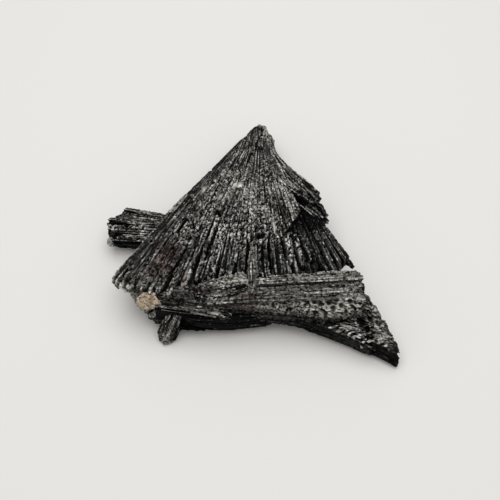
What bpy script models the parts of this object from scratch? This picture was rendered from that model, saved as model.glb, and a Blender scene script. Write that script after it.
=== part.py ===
"""Black kyanite fan: sprays of flat dark blades grown together, with two pale grains of other minerals.

The big spray spreads from its apex at the back, low on the table, and rises to a rim in front. A second
spray starts at the left end of that rim and runs across it to a long point at the right. A sheaf sticks out
from under the left edge, and a stub of blades comes out under the rim. All these blades interlock, so they
are fused in one solid. The grains are other minerals, so each is a solid of its own in a pocket.

Sizes are in millimetres here and are turned into metres where a blade is made. +Z is up, +Y is the back, and
the origin is under the middle of the specimen, on the surface that it lies on.
"""

import math
import random

import bmesh
import bpy
import numpy as np
from mathutils import Vector

MM = 0.001
SEED = 7

# What is taken off every place, so that the origin is under the middle of the specimen.
MIDDLE = Vector((-2.10, 6.11, 0.0))

# Colours, roughness and metallic value of each mineral.
KYANITE = ((0.085, 0.083, 0.078, 1.0), 0.55, 0.0)
TAN_MATRIX = ((0.33, 0.27, 0.21, 1.0), 0.85, 0.0)
PALE_QUARTZ = ((0.42, 0.43, 0.38, 1.0), 0.6, 0.0)

# The big spray. Angles are in plan, from straight forwards, positive to the right, and each table gives a
# value for a few of them: how far the rim is from the apex, and how high the rim's upper face is.
APEX = Vector((2.7, 54.5, 12.5))
APEX_LEFT = -4.2
APEX_RIGHT = 1.9
APEX_DEPTH = 14.0
LEFT_ANGLE = -36.6
RIGHT_ANGLE = 26.0
RIM_REACH = {-37: 86.3, -29: 87, -24: 84, -15: 80.5, -9: 77.0, 0: 74.0, 10: 73.0, 19: 73.3, 23: 71, 26: 65.5}
RIM_HEIGHT = {-37: 18.0, -29: 18.4, -24: 19.6, -15: 22, -9: 23.4, 0: 24.2, 10: 23.0, 19: 19.5, 26: 16.2}
DOME = {-37: 1.6, -10: 2.4, 8: 2.4, 18: 0.6, 26: 0.0}
BODY_DEPTH = 8.5

# Where the second spray and the left sheaf spread from.
CROSS_START = Vector((-35.0, -24.2, 18.5))
SHEAF_START = Vector((-6.0, 1.0, 9.5))

# The pale grains: middle and half sizes.
MATRIX_PLACE = Vector((-36.6, -24.6, 14.6))
MATRIX_HALF = Vector((4.6, 3.4, 3.3))
QUARTZ_PLACE = Vector((-53.6, 6.3, 5.6))
QUARTZ_HALF = Vector((1.7, 1.7, 1.9))
POCKET_GAP = 0.3

PARTS = "black_kyanite_fan"
HELPERS = "helpers"


def clear_scene():
    for obj in list(bpy.data.objects):
        bpy.data.objects.remove(obj, do_unlink=True)


def new_collection(name):
    collection = bpy.data.collections.new(name)
    bpy.context.scene.collection.children.link(collection)
    return collection


def move_to(obj, collection):
    for old in list(obj.users_collection):
        old.objects.unlink(obj)
    collection.objects.link(obj)


def mineral(name, colour, roughness, metallic):
    material = bpy.data.materials.new(name)
    material.use_nodes = True
    shader = material.node_tree.nodes["Principled BSDF"]
    shader.inputs["Base Color"].default_value = colour
    shader.inputs["Roughness"].default_value = roughness
    shader.inputs["Metallic"].default_value = metallic
    return material


def by_angle(table, angle):
    """The value at this angle, between the values that a table gives."""
    return float(np.interp(angle, list(table), list(table.values())))


def blade(collection, start, end, width, depth, up=Vector((0, 0, 1)), chip=(0.0, 0.0), bow=0.0):
    """One flat crystal, from a cube. start and end lie in the middle of its upper face, width and depth are
    (at start, at end), chip is how far its broken end leans across the width and down the depth, and bow is
    how far its middle stands out to the side."""
    bpy.ops.mesh.primitive_cube_add(size=1.0)
    crystal = bpy.context.object
    move_to(crystal, collection)
    along = (end - start).normalized()
    side = up.cross(along).normalized()
    top = along.cross(side)
    mesh = bmesh.new()
    mesh.from_mesh(crystal.data)
    if bow:
        long_edges = [e for e in mesh.edges if abs(e.verts[0].co.x - e.verts[1].co.x) > 0.5]
        bmesh.ops.subdivide_edges(mesh, edges=long_edges, cuts=1)
    for vertex in mesh.verts:
        length, across, down = vertex.co.x + 0.5, vertex.co.y, vertex.co.z - 0.5
        wide = width[0] + (width[1] - width[0]) * length
        deep = depth[0] + (depth[1] - depth[0]) * length
        lean = length * (chip[0] * across * 2 + chip[1] * down)
        aside = across * wide + bow * 4 * length * (1 - length)
        place = start + (end - start) * length + along * lean + side * aside + top * down * deep
        vertex.co = (place - MIDDLE) * MM
    mesh.to_mesh(crystal.data)
    mesh.free()
    return crystal


def spray_point(lateral, forward, height):
    """A point of the big spray, from its apex."""
    return Vector((APEX.x + lateral, APEX.y - forward, height))


def main_blade(collection, angle, first, last, rise, width, depth, draw, bow=0.0):
    """A blade of the big spray from share first to distance last, raised by rise over the spray's face."""
    rim, top = by_angle(RIM_REACH, angle), by_angle(RIM_HEIGHT, angle)
    turn = math.radians(angle)
    across = (angle - LEFT_ANGLE) / (RIGHT_ANGLE - LEFT_ANGLE)
    root = Vector((APEX_LEFT + (APEX_RIGHT - APEX_LEFT) * across, abs(across - 0.5) * 4.0))
    outer = Vector((math.sin(turn) * rim, math.cos(turn) * rim))

    def at(distance, lift):
        share = distance / rim
        flat = root + (outer - root) * share
        dome = by_angle(DOME, angle) * math.sin(math.pi * min(share, 1.0))
        return spray_point(flat.x, flat.y, APEX.z + (top - APEX.z) * share + dome + lift)

    tilt = Vector((draw.uniform(-0.14, 0.14) + 0.2 * math.sin(turn), 0.0, 1.0))
    chip = (draw.uniform(-1.0, 1.0), draw.uniform(-0.25, 0.25))
    return blade(collection, at(first, rise[0]), at(last, rise[1]), width, depth, tilt, chip, bow)


def spread(count, first, last, draw, wander):
    step = (last - first) / (count - 1)
    return [first + i * step + draw.uniform(-wander, wander) * step for i in range(count)]


def big_spray(helpers, draw):
    """Core slabs, a layer under them, the full layer, and shorter broken layers on top."""
    for angle in spread(8, LEFT_ANGLE + 3.5, RIGHT_ANGLE - 3.5, draw, 0.0):
        last = by_angle(RIM_REACH, angle) - (5 if angle < 15 else 10)
        main_blade(helpers, angle, 0.6, last, (-1.6, -1.6), (5.0, 13.0), (APEX_DEPTH, BODY_DEPTH - 1), draw)
    for angle in spread(20, LEFT_ANGLE + 1, RIGHT_ANGLE - 1, draw, 0.25):
        last = by_angle(RIM_REACH, angle) - draw.uniform(3, 14)
        main_blade(helpers, angle, 8.0, last, (-6.5, -6.5), (2.0, 4.6), (6.0, 3.6), draw)
    for angle in spread(30, LEFT_ANGLE + 4, RIGHT_ANGLE - 1, draw, 0.2):
        last = by_angle(RIM_REACH, angle) - draw.uniform(0.0, 1.8)
        lift = draw.uniform(-0.9, 0.6)
        main_blade(helpers, angle, 0.0, last, (0.0, lift), (1.2, draw.uniform(2.4, 3.4)), (4, 5), draw)
    for angle in spread(5, LEFT_ANGLE, LEFT_ANGLE + 4.5, draw, 0.1):
        last = by_angle(RIM_REACH, angle) - draw.uniform(0.0, 1.5)
        lift = draw.uniform(-0.2, 0.5)
        main_blade(helpers, angle, 0.3, last, (0.3, lift), (1.4, 2.2), (5, 6.5), draw, -2.0)
    for angle in spread(20, LEFT_ANGLE + 6, 4, draw, 0.3):
        first, last = draw.uniform(3, 14), draw.uniform(36, 70)
        lift = (1.0, draw.uniform(0.8, 1.9))
        main_blade(helpers, angle, first, last, lift, (0.9, draw.uniform(1.8, 2.8)), (3, 4), draw)
    for angle in spread(9, 1, 18, draw, 0.2):
        last = 60.0 - 0.85 * angle + draw.uniform(-2, 2)
        main_blade(helpers, angle, draw.uniform(3, 9), last, (1.0, 2.2), (1.0, 2.4), (3, 4.5), draw)


def crust_ledges(helpers, draw):
    """Short broken blades that lie on the middle of the big spray and leave small ledges there."""
    for _ in range(16):
        angle, first = draw.uniform(-26, 12), draw.uniform(24, 46)
        last = first + draw.uniform(7, 16)
        width = draw.uniform(1.2, 2.2)
        lift = draw.uniform(1.7, 2.6)
        main_blade(helpers, angle, first, last, (lift, lift + 0.3), (width, width * 0.9), (3, 3), draw)


def right_bundle(helpers, draw):
    """The broken bundle of the right edge, and the two short blades and the long ones under it.

    Each row is lateral and forward of the start, then lateral, forward and height of the end, then width."""
    rows = [
        (2.6, 9.0, 14.4, 41.0, 21.0, 2.6),
        (3.0, 9.0, 17.0, 39.4, 20.6, 2.6),
        (3.4, 9.0, 19.2, 38.4, 20.2, 2.4),
        (3.6, 9.5, 21.2, 37.0, 19.8, 2.2),
        (3.8, 10.5, 21.6, 34.4, 19.4, 1.8),
    ]
    for x0, y0, x1, y1, z1, wide in rows:
        start, end = spray_point(x0, y0, 13.6), spray_point(x1, y1, z1)
        chip = (draw.uniform(-1.4, 1.4), draw.uniform(-0.2, 0.2))
        blade(helpers, start, end, (1.6, wide), (5.0, 4.2), Vector((0.1, 0, 1)), chip, 0.5)
    for x1, y1, z1 in ((21.4, 41.4, 16.8), (24.2, 45.0, 15.6), (22.4, 45.6, 15.2)):
        start, end = spray_point(6.0, 16.0, 11.5), spray_point(x1, y1, z1)
        blade(helpers, start, end, (1.6, 2.2), (4.0, 3.4), Vector((0.1, 0, 1)), (-1.0, 0.2))
    long_blades = ((33.2, 65.0, 14.6, 0.9), (31.0, 60.4, 14.8, 2.0), (28.8, 62.0, 15.4, 2.2), (26.8, 66.0, 16.6, 2.6))
    for x1, y1, z1, wide in long_blades:
        start, end = spray_point(4.0, 19.0, 11.4), spray_point(x1, y1, z1)
        blade(helpers, start, end, (1.8, wide), (5.0, 5.0), Vector((0.12, 0, 1)), (-1.2, 0.1), 0.4)


def apex_knob(helpers, draw):
    """The rounded stump that the big spray grows from."""
    for x0, y0, x1, y1, z in ((-3.0, 2.8, -0.5, 7, 12.6), (-0.8, 0.4, 0.0, 8, 13.2), (1.6, 1.0, 1.0, 9, 13.2), (3.4, 3.4, 2.4, 10, 12.8)):
        start, end = spray_point(x1, y1, z + 0.8), spray_point(x0, y0, z)
        blade(helpers, start, end, (2.4, 3.2), (11, z + 1), Vector((draw.uniform(-0.3, 0.3), 0, 1)), (draw.uniform(-1, 1), -0.5))


def under_rim(helpers, draw):
    """Broken plates under the left end of the rim, and the stub of longer blades that stands on the table."""
    for x, y, z, low in ((-43.0, -20.6, 14.0, 8.0), (-39.6, -23.0, 12.5, 6.5), (-36.0, -25.4, 10.5, 3.5), (-33.0, -25.6, 9.0, 1.5)):
        start, end = Vector((-22.0, 2.0, z + 0.5)), Vector((x, y, z))
        blade(helpers, start, end, (3.0, 3.6), (8.0, z - low), Vector((0.15, 0, 1)), (draw.uniform(-1, 1), 0.3))
    for x, y, z in ((-33.6, -31.2, 6.0), (-31.2, -33.0, 6.6), (-28.8, -32.4, 6.0)):
        start, end = Vector((x * 0.55, 0.0, 12.5)), Vector((x, y, z))
        chip = (draw.uniform(-0.7, 0.7), draw.uniform(-0.1, 0.1))
        blade(helpers, start, end, (2.4, 3.0), (8.0, z + 1.2), Vector((0.1, 0, 1)), chip)


def cross_spray(helpers, draw):
    """The second spray: a fan of long blades, then its point, then the dark belly under its left half.

    Each row is the end's x, y and z, the end's width and depth, and the share of the way to start at."""
    rows = [
        (34.0, -14.6, 23.0, 3.0, 5.0, 0.36),
        (36.2, -16.6, 21.4, 3.0, 6.5, 0.06),
        (36.8, -19.4, 21.6, 4.6, 8.0, 0.0),
        (37.0, -22.2, 20.2, 3.2, 9.0, 0.0),
        (38.2, -24.2, 19.4, 3.6, 9.5, 0.0),
        (40.0, -26.6, 17.2, 3.2, 9.5, 0.0),
        (42.0, -29.0, 16.0, 3.6, 9.5, 0.0),
    ]
    for i, (x, y, z, wide, deep, share) in enumerate(rows):
        end = Vector((x, y, z))
        start = CROSS_START + Vector((0, -0.4 * i, 1.0 - 0.3 * i))
        start = start + (end - start) * share
        if i == 0:
            start.z += 3.0
        chip = (draw.uniform(-1.0, 1.0), draw.uniform(-0.2, 0.2))
        tilt = Vector((0, draw.uniform(-0.25, 0.0), 1))
        blade(helpers, start, end, (2.4, wide), (8.0, deep), tilt, chip)
    core = Vector((34.0, -23.5, 15.5))
    blade(helpers, CROSS_START + Vector((4, 2, -2)), core, (5.0, 11.0), (10.0, 9.0), Vector((0, -0.25, 1)))
    point = [
        (-12.0, -24.6, 13.5, 44.4, -32.0, 13.6, 9.0),
        (-6.0, -25.4, 12.5, 46.6, -35.2, 11.6, 8.0),
        (-1.0, -26.0, 11.5, 48.8, -38.4, 9.8, 8.0),
        (4.0, -26.6, 10.0, 50.2, -41.0, 8.0, 8.4),
    ]
    for x0, y0, z0, x1, y1, z1, deep in point:
        chip = (draw.uniform(-1.0, 1.0), draw.uniform(-0.2, 0.2))
        start, end = Vector((x0, y0, z0)), Vector((x1, y1, z1))
        blade(helpers, start, end, (3.0, 3.6), (5.0, deep), Vector((0, -0.1, 1)), chip, 0.8)
    belly = (
        (1.0, -27.0, 12.0, 4.6),
        (-4.0, -27.8, 11.6, 2.4),
        (-10.0, -27.6, 11.6, 1.6),
        (-16.0, -26.8, 12.4, 3.0),
    )
    for x, y, z, low in belly:
        start, end = Vector((-31.0, -20.5, 14.0)), Vector((x, y, z))
        chip = (draw.uniform(-0.8, 0.8), draw.uniform(-0.2, 0.2))
        blade(helpers, start, end, (4.0, 4.6), (7.0, z - low), Vector((0, -0.1, 1)), chip)


def broken_blocks(helpers, draw):
    """The blocky broken ends along the slanting edge of the point."""
    upper, lower = Vector((36.6, -23.4, 17.6)), Vector((48.6, -38.6, 8.0))
    for i in range(16):
        middle = upper.lerp(lower, i / 15) + Vector((draw.uniform(-4.0, -0.6), draw.uniform(-1.2, 1.2), 0))
        along = Vector((draw.uniform(0.6, 1.0), draw.uniform(-0.6, 0.3), draw.uniform(-0.2, 0.5)))
        half = along.normalized() * draw.uniform(1.2, 2.0)
        wide = draw.uniform(1.4, 2.6)
        tilt = Vector((draw.uniform(-0.5, 0.5), draw.uniform(-0.5, 0.5), 1))
        blade(helpers, middle - half, middle + half, (wide, wide), (4.5, 4.0), tilt, (draw.uniform(-0.5, 0.5), 0))


def left_sheaf(helpers, draw):
    """Each row is the end's x, y and z."""
    for x, y, z in ((-46.6, 17.0, 11.6), (-51.0, 14.0, 12.0), (-54.6, 11.0, 11.2), (-53.4, 7.8, 10.6), (-51.6, 5.0, 9.6)):
        end = Vector((x, y, z))
        start = SHEAF_START + Vector((0, (y - 10) * 0.45, 0))
        chip = (draw.uniform(-1.0, 1.0), draw.uniform(-0.3, 0.3))
        blade(helpers, start, end, (3.2, 3.6), (6.0, z - 2.6), Vector((0, -0.1, 1)), chip)


def slots_and_pits(helpers, draw):
    """Cutters for the long gaps between blades and for the small square pits in the middle of the spray."""
    for angle in spread(11, -31, 13, draw, 0.3):
        last = by_angle(RIM_REACH, angle) - draw.uniform(3, 9)
        first = last - draw.uniform(11, 20)
        cutter_blade(helpers, angle, first, last, draw.uniform(0.7, 1.1), draw)
    for _ in range(16):
        angle, first = draw.uniform(-28, 14), draw.uniform(26, 56)
        cutter_blade(helpers, angle, first, first + draw.uniform(1.2, 2.4), draw.uniform(1.0, 1.7), draw)


def cutter_blade(helpers, angle, first, last, width, draw):
    """A cutter that reaches from 4 mm above the spray's face to 2 mm or so below it."""
    depth = draw.uniform(5.6, 6.6)
    main_blade(helpers, angle, first, last, (4.0, 4.0), (width * 0.8, width), (depth, depth), draw)


def lump(name, collection, place, half, draw, grow=0.0):
    """A rough grain, from an icosphere whose corners are pushed in and out. grow makes it larger all round."""
    bpy.ops.mesh.primitive_ico_sphere_add(subdivisions=2, radius=1.0)
    grain = bpy.context.object
    grain.name = name
    move_to(grain, collection)
    for vertex in grain.data.vertices:
        reach = draw.uniform(0.82, 1.08)
        out = Vector(vertex.co)
        spot = Vector((out.x * half.x, out.y * half.y, out.z * half.z)) * reach
        vertex.co = (place + spot + out * grow - MIDDLE) * MM
    return grain


def take_boolean(base, operation, other=None, collection=None):
    """One Boolean on base, applied, with its operand or its operands removed."""
    modifier = base.modifiers.new("step", "BOOLEAN")
    modifier.operation = operation
    modifier.solver = "EXACT"
    if collection:
        modifier.operand_type = "COLLECTION"
        modifier.collection = collection
    else:
        modifier.object = other
    graph = bpy.context.evaluated_depsgraph_get()
    result = bpy.data.meshes.new_from_object(base.evaluated_get(graph))
    base.modifiers.clear()
    base.data = result
    used = list(collection.objects) if collection else [other]
    for operand in used:
        bpy.data.objects.remove(operand, do_unlink=True)


def islands(mesh):
    """The separate shells of a bmesh, each as a list of vertices."""
    left = set(mesh.verts)
    found = []
    while left:
        start = left.pop()
        shell, edge_of_search = [start], [start]
        while edge_of_search:
            here = edge_of_search.pop()
            for edge in here.link_edges:
                other = edge.other_vert(here)
                if other in left:
                    left.remove(other)
                    shell.append(other)
                    edge_of_search.append(other)
        found.append(shell)
    return found


def keep_outer_skin(base):
    """Fill the small voids sealed between the blades, and drop chips that a cut has set free."""
    mesh = bmesh.new()
    mesh.from_mesh(base.data)
    shells = sorted(islands(mesh), key=len)
    inner = [vertex for shell in shells[:-1] for vertex in shell]
    bmesh.ops.delete(mesh, geom=inner, context="VERTS")
    mesh.to_mesh(base.data)
    mesh.free()


def finish(part, name, material):
    part.name = name
    part.data.name = name
    part.data.materials.clear()
    part.data.materials.append(material)
    for face in part.data.polygons:
        face.material_index = 0


def main():
    clear_scene()
    draw = random.Random(SEED)
    parts = new_collection(PARTS)
    helpers = new_collection(HELPERS)
    big_spray(helpers, draw)
    crust_ledges(helpers, draw)
    right_bundle(helpers, draw)
    apex_knob(helpers, draw)
    under_rim(helpers, draw)
    cross_spray(helpers, draw)
    broken_blocks(helpers, draw)
    left_sheaf(helpers, draw)

    fan = helpers.objects[0]
    move_to(fan, parts)
    take_boolean(fan, "UNION", collection=helpers)

    # The specimen's own weight has worn flats where it lies, at its apex, its stub, its belly and its point.
    bpy.ops.mesh.primitive_cube_add(size=0.2, location=(0, 0, -0.1))
    table = bpy.context.object
    move_to(table, helpers)
    take_boolean(fan, "DIFFERENCE", other=table)

    slots_and_pits(helpers, draw)
    take_boolean(fan, "DIFFERENCE", collection=helpers)

    for place, half, seed in ((MATRIX_PLACE, MATRIX_HALF, 3), (QUARTZ_PLACE, QUARTZ_HALF, 5)):
        pocket = lump("pocket", helpers, place, half, random.Random(seed), POCKET_GAP / 0.9)
        take_boolean(fan, "DIFFERENCE", other=pocket)
    keep_outer_skin(fan)
    finish(fan, "kyanite_fan", mineral("kyanite", *KYANITE))

    matrix = lump("matrix_grain", parts, MATRIX_PLACE, MATRIX_HALF, random.Random(3))
    finish(matrix, "matrix_grain", mineral("tan_matrix", *TAN_MATRIX))
    quartz = lump("quartz_grain", parts, QUARTZ_PLACE, QUARTZ_HALF, random.Random(5))
    finish(quartz, "quartz_grain", mineral("pale_quartz", *PALE_QUARTZ))


if __name__ == "__main__":
    main()
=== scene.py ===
# %% [markdown]
# # A black kyanite fan
# Black kyanite grows as flat dark blades that spread from a point, like the ribs of a hand fan. This
# specimen is several such sprays grown into each other, with two grains of other minerals held between
# them. The lesson starts from the plain solids of the part, and dresses them with close detail: every
# blade, gap, pit and broken end, and the dull silvery look of the mineral.

import math

import bpy
import numpy as np
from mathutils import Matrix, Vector


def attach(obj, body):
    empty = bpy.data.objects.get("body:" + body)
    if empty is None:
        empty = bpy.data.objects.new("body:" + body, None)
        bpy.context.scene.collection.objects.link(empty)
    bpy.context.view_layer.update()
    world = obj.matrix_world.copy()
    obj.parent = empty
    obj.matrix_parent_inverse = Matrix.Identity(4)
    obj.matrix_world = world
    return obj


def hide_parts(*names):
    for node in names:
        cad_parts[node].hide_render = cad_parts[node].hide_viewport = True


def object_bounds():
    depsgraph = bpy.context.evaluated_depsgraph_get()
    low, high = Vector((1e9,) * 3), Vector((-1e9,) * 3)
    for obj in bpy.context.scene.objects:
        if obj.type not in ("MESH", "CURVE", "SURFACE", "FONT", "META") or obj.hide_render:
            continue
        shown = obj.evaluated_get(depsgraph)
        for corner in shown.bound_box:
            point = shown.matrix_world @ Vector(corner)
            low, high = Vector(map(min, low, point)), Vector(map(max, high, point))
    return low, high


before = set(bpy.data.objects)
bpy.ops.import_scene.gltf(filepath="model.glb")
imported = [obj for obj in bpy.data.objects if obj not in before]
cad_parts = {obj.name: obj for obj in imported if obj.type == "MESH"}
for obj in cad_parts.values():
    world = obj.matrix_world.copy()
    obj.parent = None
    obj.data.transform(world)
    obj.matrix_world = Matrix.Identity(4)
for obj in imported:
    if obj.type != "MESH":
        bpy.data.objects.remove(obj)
cad_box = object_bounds()
# All lines, spots and pits below are given in mm. ORIGIN is where the frame's middle lies among them,
# and every point of a mesh stays at least SKIN inside the solids' box.
MM = 0.001
ORIGIN = np.array([-2.10, 6.11, 0.0])
LOW, HIGH = (np.array(list(corner)) / MM for corner in cad_box)
SKIN = 0.05
print("the solids' box in mm:", [[round(v * 1000, 1) for v in corner] for corner in cad_box])

# %% [markdown]
# ## Noise to break the mineral with
# Nothing on a natural crystal repeats, so every surface needs noise that is different everywhere and the
# same on each run. Blender has noise textures for materials. For moving hundreds of thousands of mesh
# points at once, a small value noise written for whole arrays is much quicker.

# %% Value noise for arrays
def lattice(cells, seed):
    """A random number from 0 to 1 for each cell, given by three whole numbers."""
    mixed = (cells[0] * 73856093) ^ (cells[1] * 19349663) ^ (cells[2] * 83492791) ^ (seed * 26544357)
    mixed = mixed & 0xFFFFFFFF
    mixed = ((mixed ^ (mixed >> 15)) * 668265261) & 0xFFFFFFFF
    mixed = ((mixed ^ (mixed >> 13)) * 374761393) & 0xFFFFFFFF
    return ((mixed ^ (mixed >> 16)) & 0xFFFFFF) / 0xFFFFFF


def noise(x, y, z, seed):
    """Smooth noise from -1 to 1, one cell to each unit."""
    x, y, z = np.broadcast_arrays(x, y, z)
    corner = [np.floor(a).astype(np.int64) for a in (x, y, z)]
    inside = [a - c for a, c in zip((x, y, z), corner)]
    ease = [f * f * (3 - 2 * f) for f in inside]
    total = np.zeros(x.shape)
    for step in range(8):
        bits = (step & 1, step >> 1 & 1, step >> 2 & 1)
        weight = 1.0
        for bit, share in zip(bits, ease):
            weight = weight * (share if bit else 1 - share)
        total += weight * lattice([c + b for c, b in zip(corner, bits)], seed)
    return total * 2 - 1


def rough(x, y, z, seed, octaves=3):
    """Noise with finer and finer noise on it."""
    total, size = 0.0, 1.0
    for octave in range(octaves):
        scale = 2.03**octave
        total = total + size * noise(x * scale, y * scale, z * scale, seed + octave * 31)
        size *= 0.5
    return total


print("noise at three places:", np.round(noise(np.array([0.2, 1.7, 3.1]), 0.5, 0.5, 1), 3))

# %% [markdown]
# ## A bundle of blades from a grid
# A spray is a closed body: a top, two edges, an underside, and broken ends. It could be hundreds of
# separate boxes, but boxes stay boxes. Here a plane grid is wrapped round the spray like paper, its two
# ends are tucked in and closed, and then the blades are pressed into it as relief. The grid's columns run
# along the blades, so gaps and fine striae come out sharp, and the whole stays one closed skin.

# %% Wrap a grid round a spray
class Corner:
    """A line along the spray's skin: where it starts, where it ends, the line inside the spray that its
    two ends are tucked towards, how its middle swells, and the columns up to the next corner."""

    def __init__(self, root, outer, core_root, core_outer, columns, swell=(0, 0, 0)):
        self.lines = np.array([root, outer, core_root, core_outer, swell], float)
        self.columns = columns


def around(corners):
    """The five lines of every column round the closed section, and which corner it follows."""
    lines, sides = [], []
    for number, corner in enumerate(corners):
        after = corners[(number + 1) % len(corners)]
        share = (np.arange(corner.columns) / corner.columns)[:, None, None]
        lines.append(corner.lines + (after.lines - corner.lines) * share)
        sides += [number] * corner.columns
    return np.concatenate(lines), np.array(sides)


def body_places(lines, shares, reach):
    """Where the smooth skin is, for each column and each share of the way along."""
    root, outer, swell = lines[:, 0, None], lines[:, 1, None], lines[:, 4, None]
    share = shares[None, :, None] * reach[:, None, None]
    return root + (outer - root) * share + swell * 4 * share * (1 - share)


def outward(places):
    """The direction out of the skin at each place."""
    round_ = np.roll(places, -2, 0) - np.roll(places, 2, 0)
    along = np.gradient(places, axis=1)
    out = np.cross(round_, along)
    out /= np.linalg.norm(out, axis=2, keepdims=True) + 1e-9
    middle = places.mean(0, keepdims=True)
    if ((places - middle) * out).sum() < 0:
        out = -out
    return out


print("a corner keeps", len(Corner((0, 0, 0), (0, 1, 0), (0, 0, 0), (0, 1, 0), 4).lines), "lines")

# %% [markdown]
# ## Pressing blades into the skin
# Each blade is a strip that follows the columns. It has a width, a start and a ragged end, and it lies a
# little above or below its neighbours and leans a little. Where several overlap, the highest shows, as on
# the real fan. Where none lies, a gap is left, which gets painted shade. Grooves, pits and pores are cut
# into the result. The same step notes for the material how far each point is across and along its blade,
# how light the blade is, where a painted shadow line runs along its edge, how deep the point lies and
# whether it is on a ridge.

# %% Blades and gaps
class BladeRelief:
    """Heights over the skin, in mm, and the facts that the material reads."""

    def __init__(self, places, sides, draw, floor):
        self.step = np.linalg.norm(np.roll(places, -1, 0) - places, axis=2)
        self.arc = np.cumsum(self.step, 0) - self.step
        self.along = np.cumsum(np.linalg.norm(np.diff(places, axis=1, prepend=places[:, :1]), axis=2), 1)
        self.length = self.along[:, -1].mean()
        self.sides, self.draw, self.places = sides, draw, places
        self.height = floor + 0.35 * rough(self.arc * 1.3, self.along * 0.35, 0.0, 5)
        self.tone = np.full(self.step.shape, 0.15)
        self.across = self.arc.copy()
        self.blade = np.zeros(self.step.shape)
        self.seam = np.zeros(self.step.shape)
        self.count = 0

    def press(
        self, column, start, end, width, lift, lean, half_columns, tone, jag=1.2, edge=0.4, ramp=0.04,
    ):
        """One blade on this column, from start to end in shares of the length. Where it lies above what
        is there, it takes the place over: aside runs from -1 to 1 across it."""
        self.count += 1
        low = max(0, int(column - half_columns - 1))
        high = min(len(self.sides), int(column + half_columns + 2))
        middle = min(int(column), len(self.sides) - 1)
        x = self.arc[low:high] - self.arc[middle] - self.step[middle] * (column - middle)
        half = np.minimum(width / 2, half_columns * self.step[middle])
        share = self.along[low:high] / self.length
        ragged = jag / self.length * noise(x * 1.9, 0.0, float(self.count), 11)
        grown = np.clip(half / (width / 2), 0.35, 1.0)
        aside = x / half
        striae = noise(x * 2.2, 0.0, float(self.count), 21) * 0.05
        striae = striae + noise(x * 1.1, share * 3, float(self.count), 22) * 0.06
        wave = noise(0.0, self.along[low:high] * 0.16, float(self.count), 23) * 0.14
        height = lift + lean * aside - edge * aside**8 + striae + wave
        height = (height + 1.0) * grown * np.clip((share - start) / ramp, 0, 1) - 1.0
        block = self.height[low:high]
        wins = (abs(aside) < 1) & (share > start) & (share < end + ragged) & (height > block)
        block[wins] = height[wins]
        self.tone[low:high][wins] = tone
        self.across[low:high][wins] = x[wins]
        self.blade[low:high][wins] = self.count
        # A painted shadow line runs along each edge of the blade, uneven along it and fainter on thin
        # blades.
        painted_mark_strength = 0.75 + 0.6 * noise(0.0, self.along[low:high] * 0.25, float(self.count), 24)
        painted_mark_strength *= np.clip((width - 0.6) / 0.9, 0.2, 1)
        self.seam[low:high][wins] = (np.clip((abs(aside) - 0.74) / 0.14, 0, 1) * painted_mark_strength)[wins]

    def layer(self, count, columns, starts, ends, widths, lifts, half_columns=7.0, wander=0.4, jag=1.2):
        """A layer of blades, evenly spread over a range of columns but for some wander."""
        first, last = columns
        step = (last - first) / count
        for number in range(count):
            column = first + (number + 0.5 + self.draw.uniform(-wander, wander)) * step
            start, end = self.draw.uniform(*starts), self.draw.uniform(*ends)
            width, lift = self.draw.uniform(*widths), self.draw.uniform(*lifts)
            lean = self.draw.uniform(-0.16, 0.16)
            tone = self.draw.uniform(0.0, 1.0)
            self.press(column, start, end, width, lift, lean, half_columns, tone, jag)

    def groove(self, column, start, end, width, depth):
        """A gap between two blades, with ragged sides, which gets painted shade from its depth."""
        self.count += 1
        reach = 12
        low, high = max(0, int(column) - reach), min(len(self.sides), int(column) + reach)
        middle = min(int(column), len(self.sides) - 1)
        along = self.along[low:high]
        x = self.arc[low:high] - self.arc[middle] + 0.12 * noise(0.0, along * 0.5, float(self.count), 41)
        share = along / self.length
        taper = np.clip(np.minimum(share - start, end - share) / (0.25 * (end - start)), 0, 1) ** 0.5
        side = width / 2 * taper * (1 + 0.3 * noise(0.0, along * 0.9, float(self.count), 42))
        deep = np.clip((side - abs(x)) / 0.3, 0, 1)
        block = self.height[low:high]
        block[:] = np.minimum(block, block * (1 - deep) - depth * deep)


across, along = np.meshgrid(np.arange(30) * 0.2, np.arange(40) * 0.5, indexing="ij")
plate = np.stack([across, along, across * 0], 2)
trial = BladeRelief(plate, np.zeros(30), np.random.default_rng(1), -1.0)
trial.layer(5, (0, 30), (0, 0), (1, 1.1), (1, 2), (0, 0.5))
print("a trial plate with", trial.count, "blades is at most", round(trial.height.max(), 2), "mm high")
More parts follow.
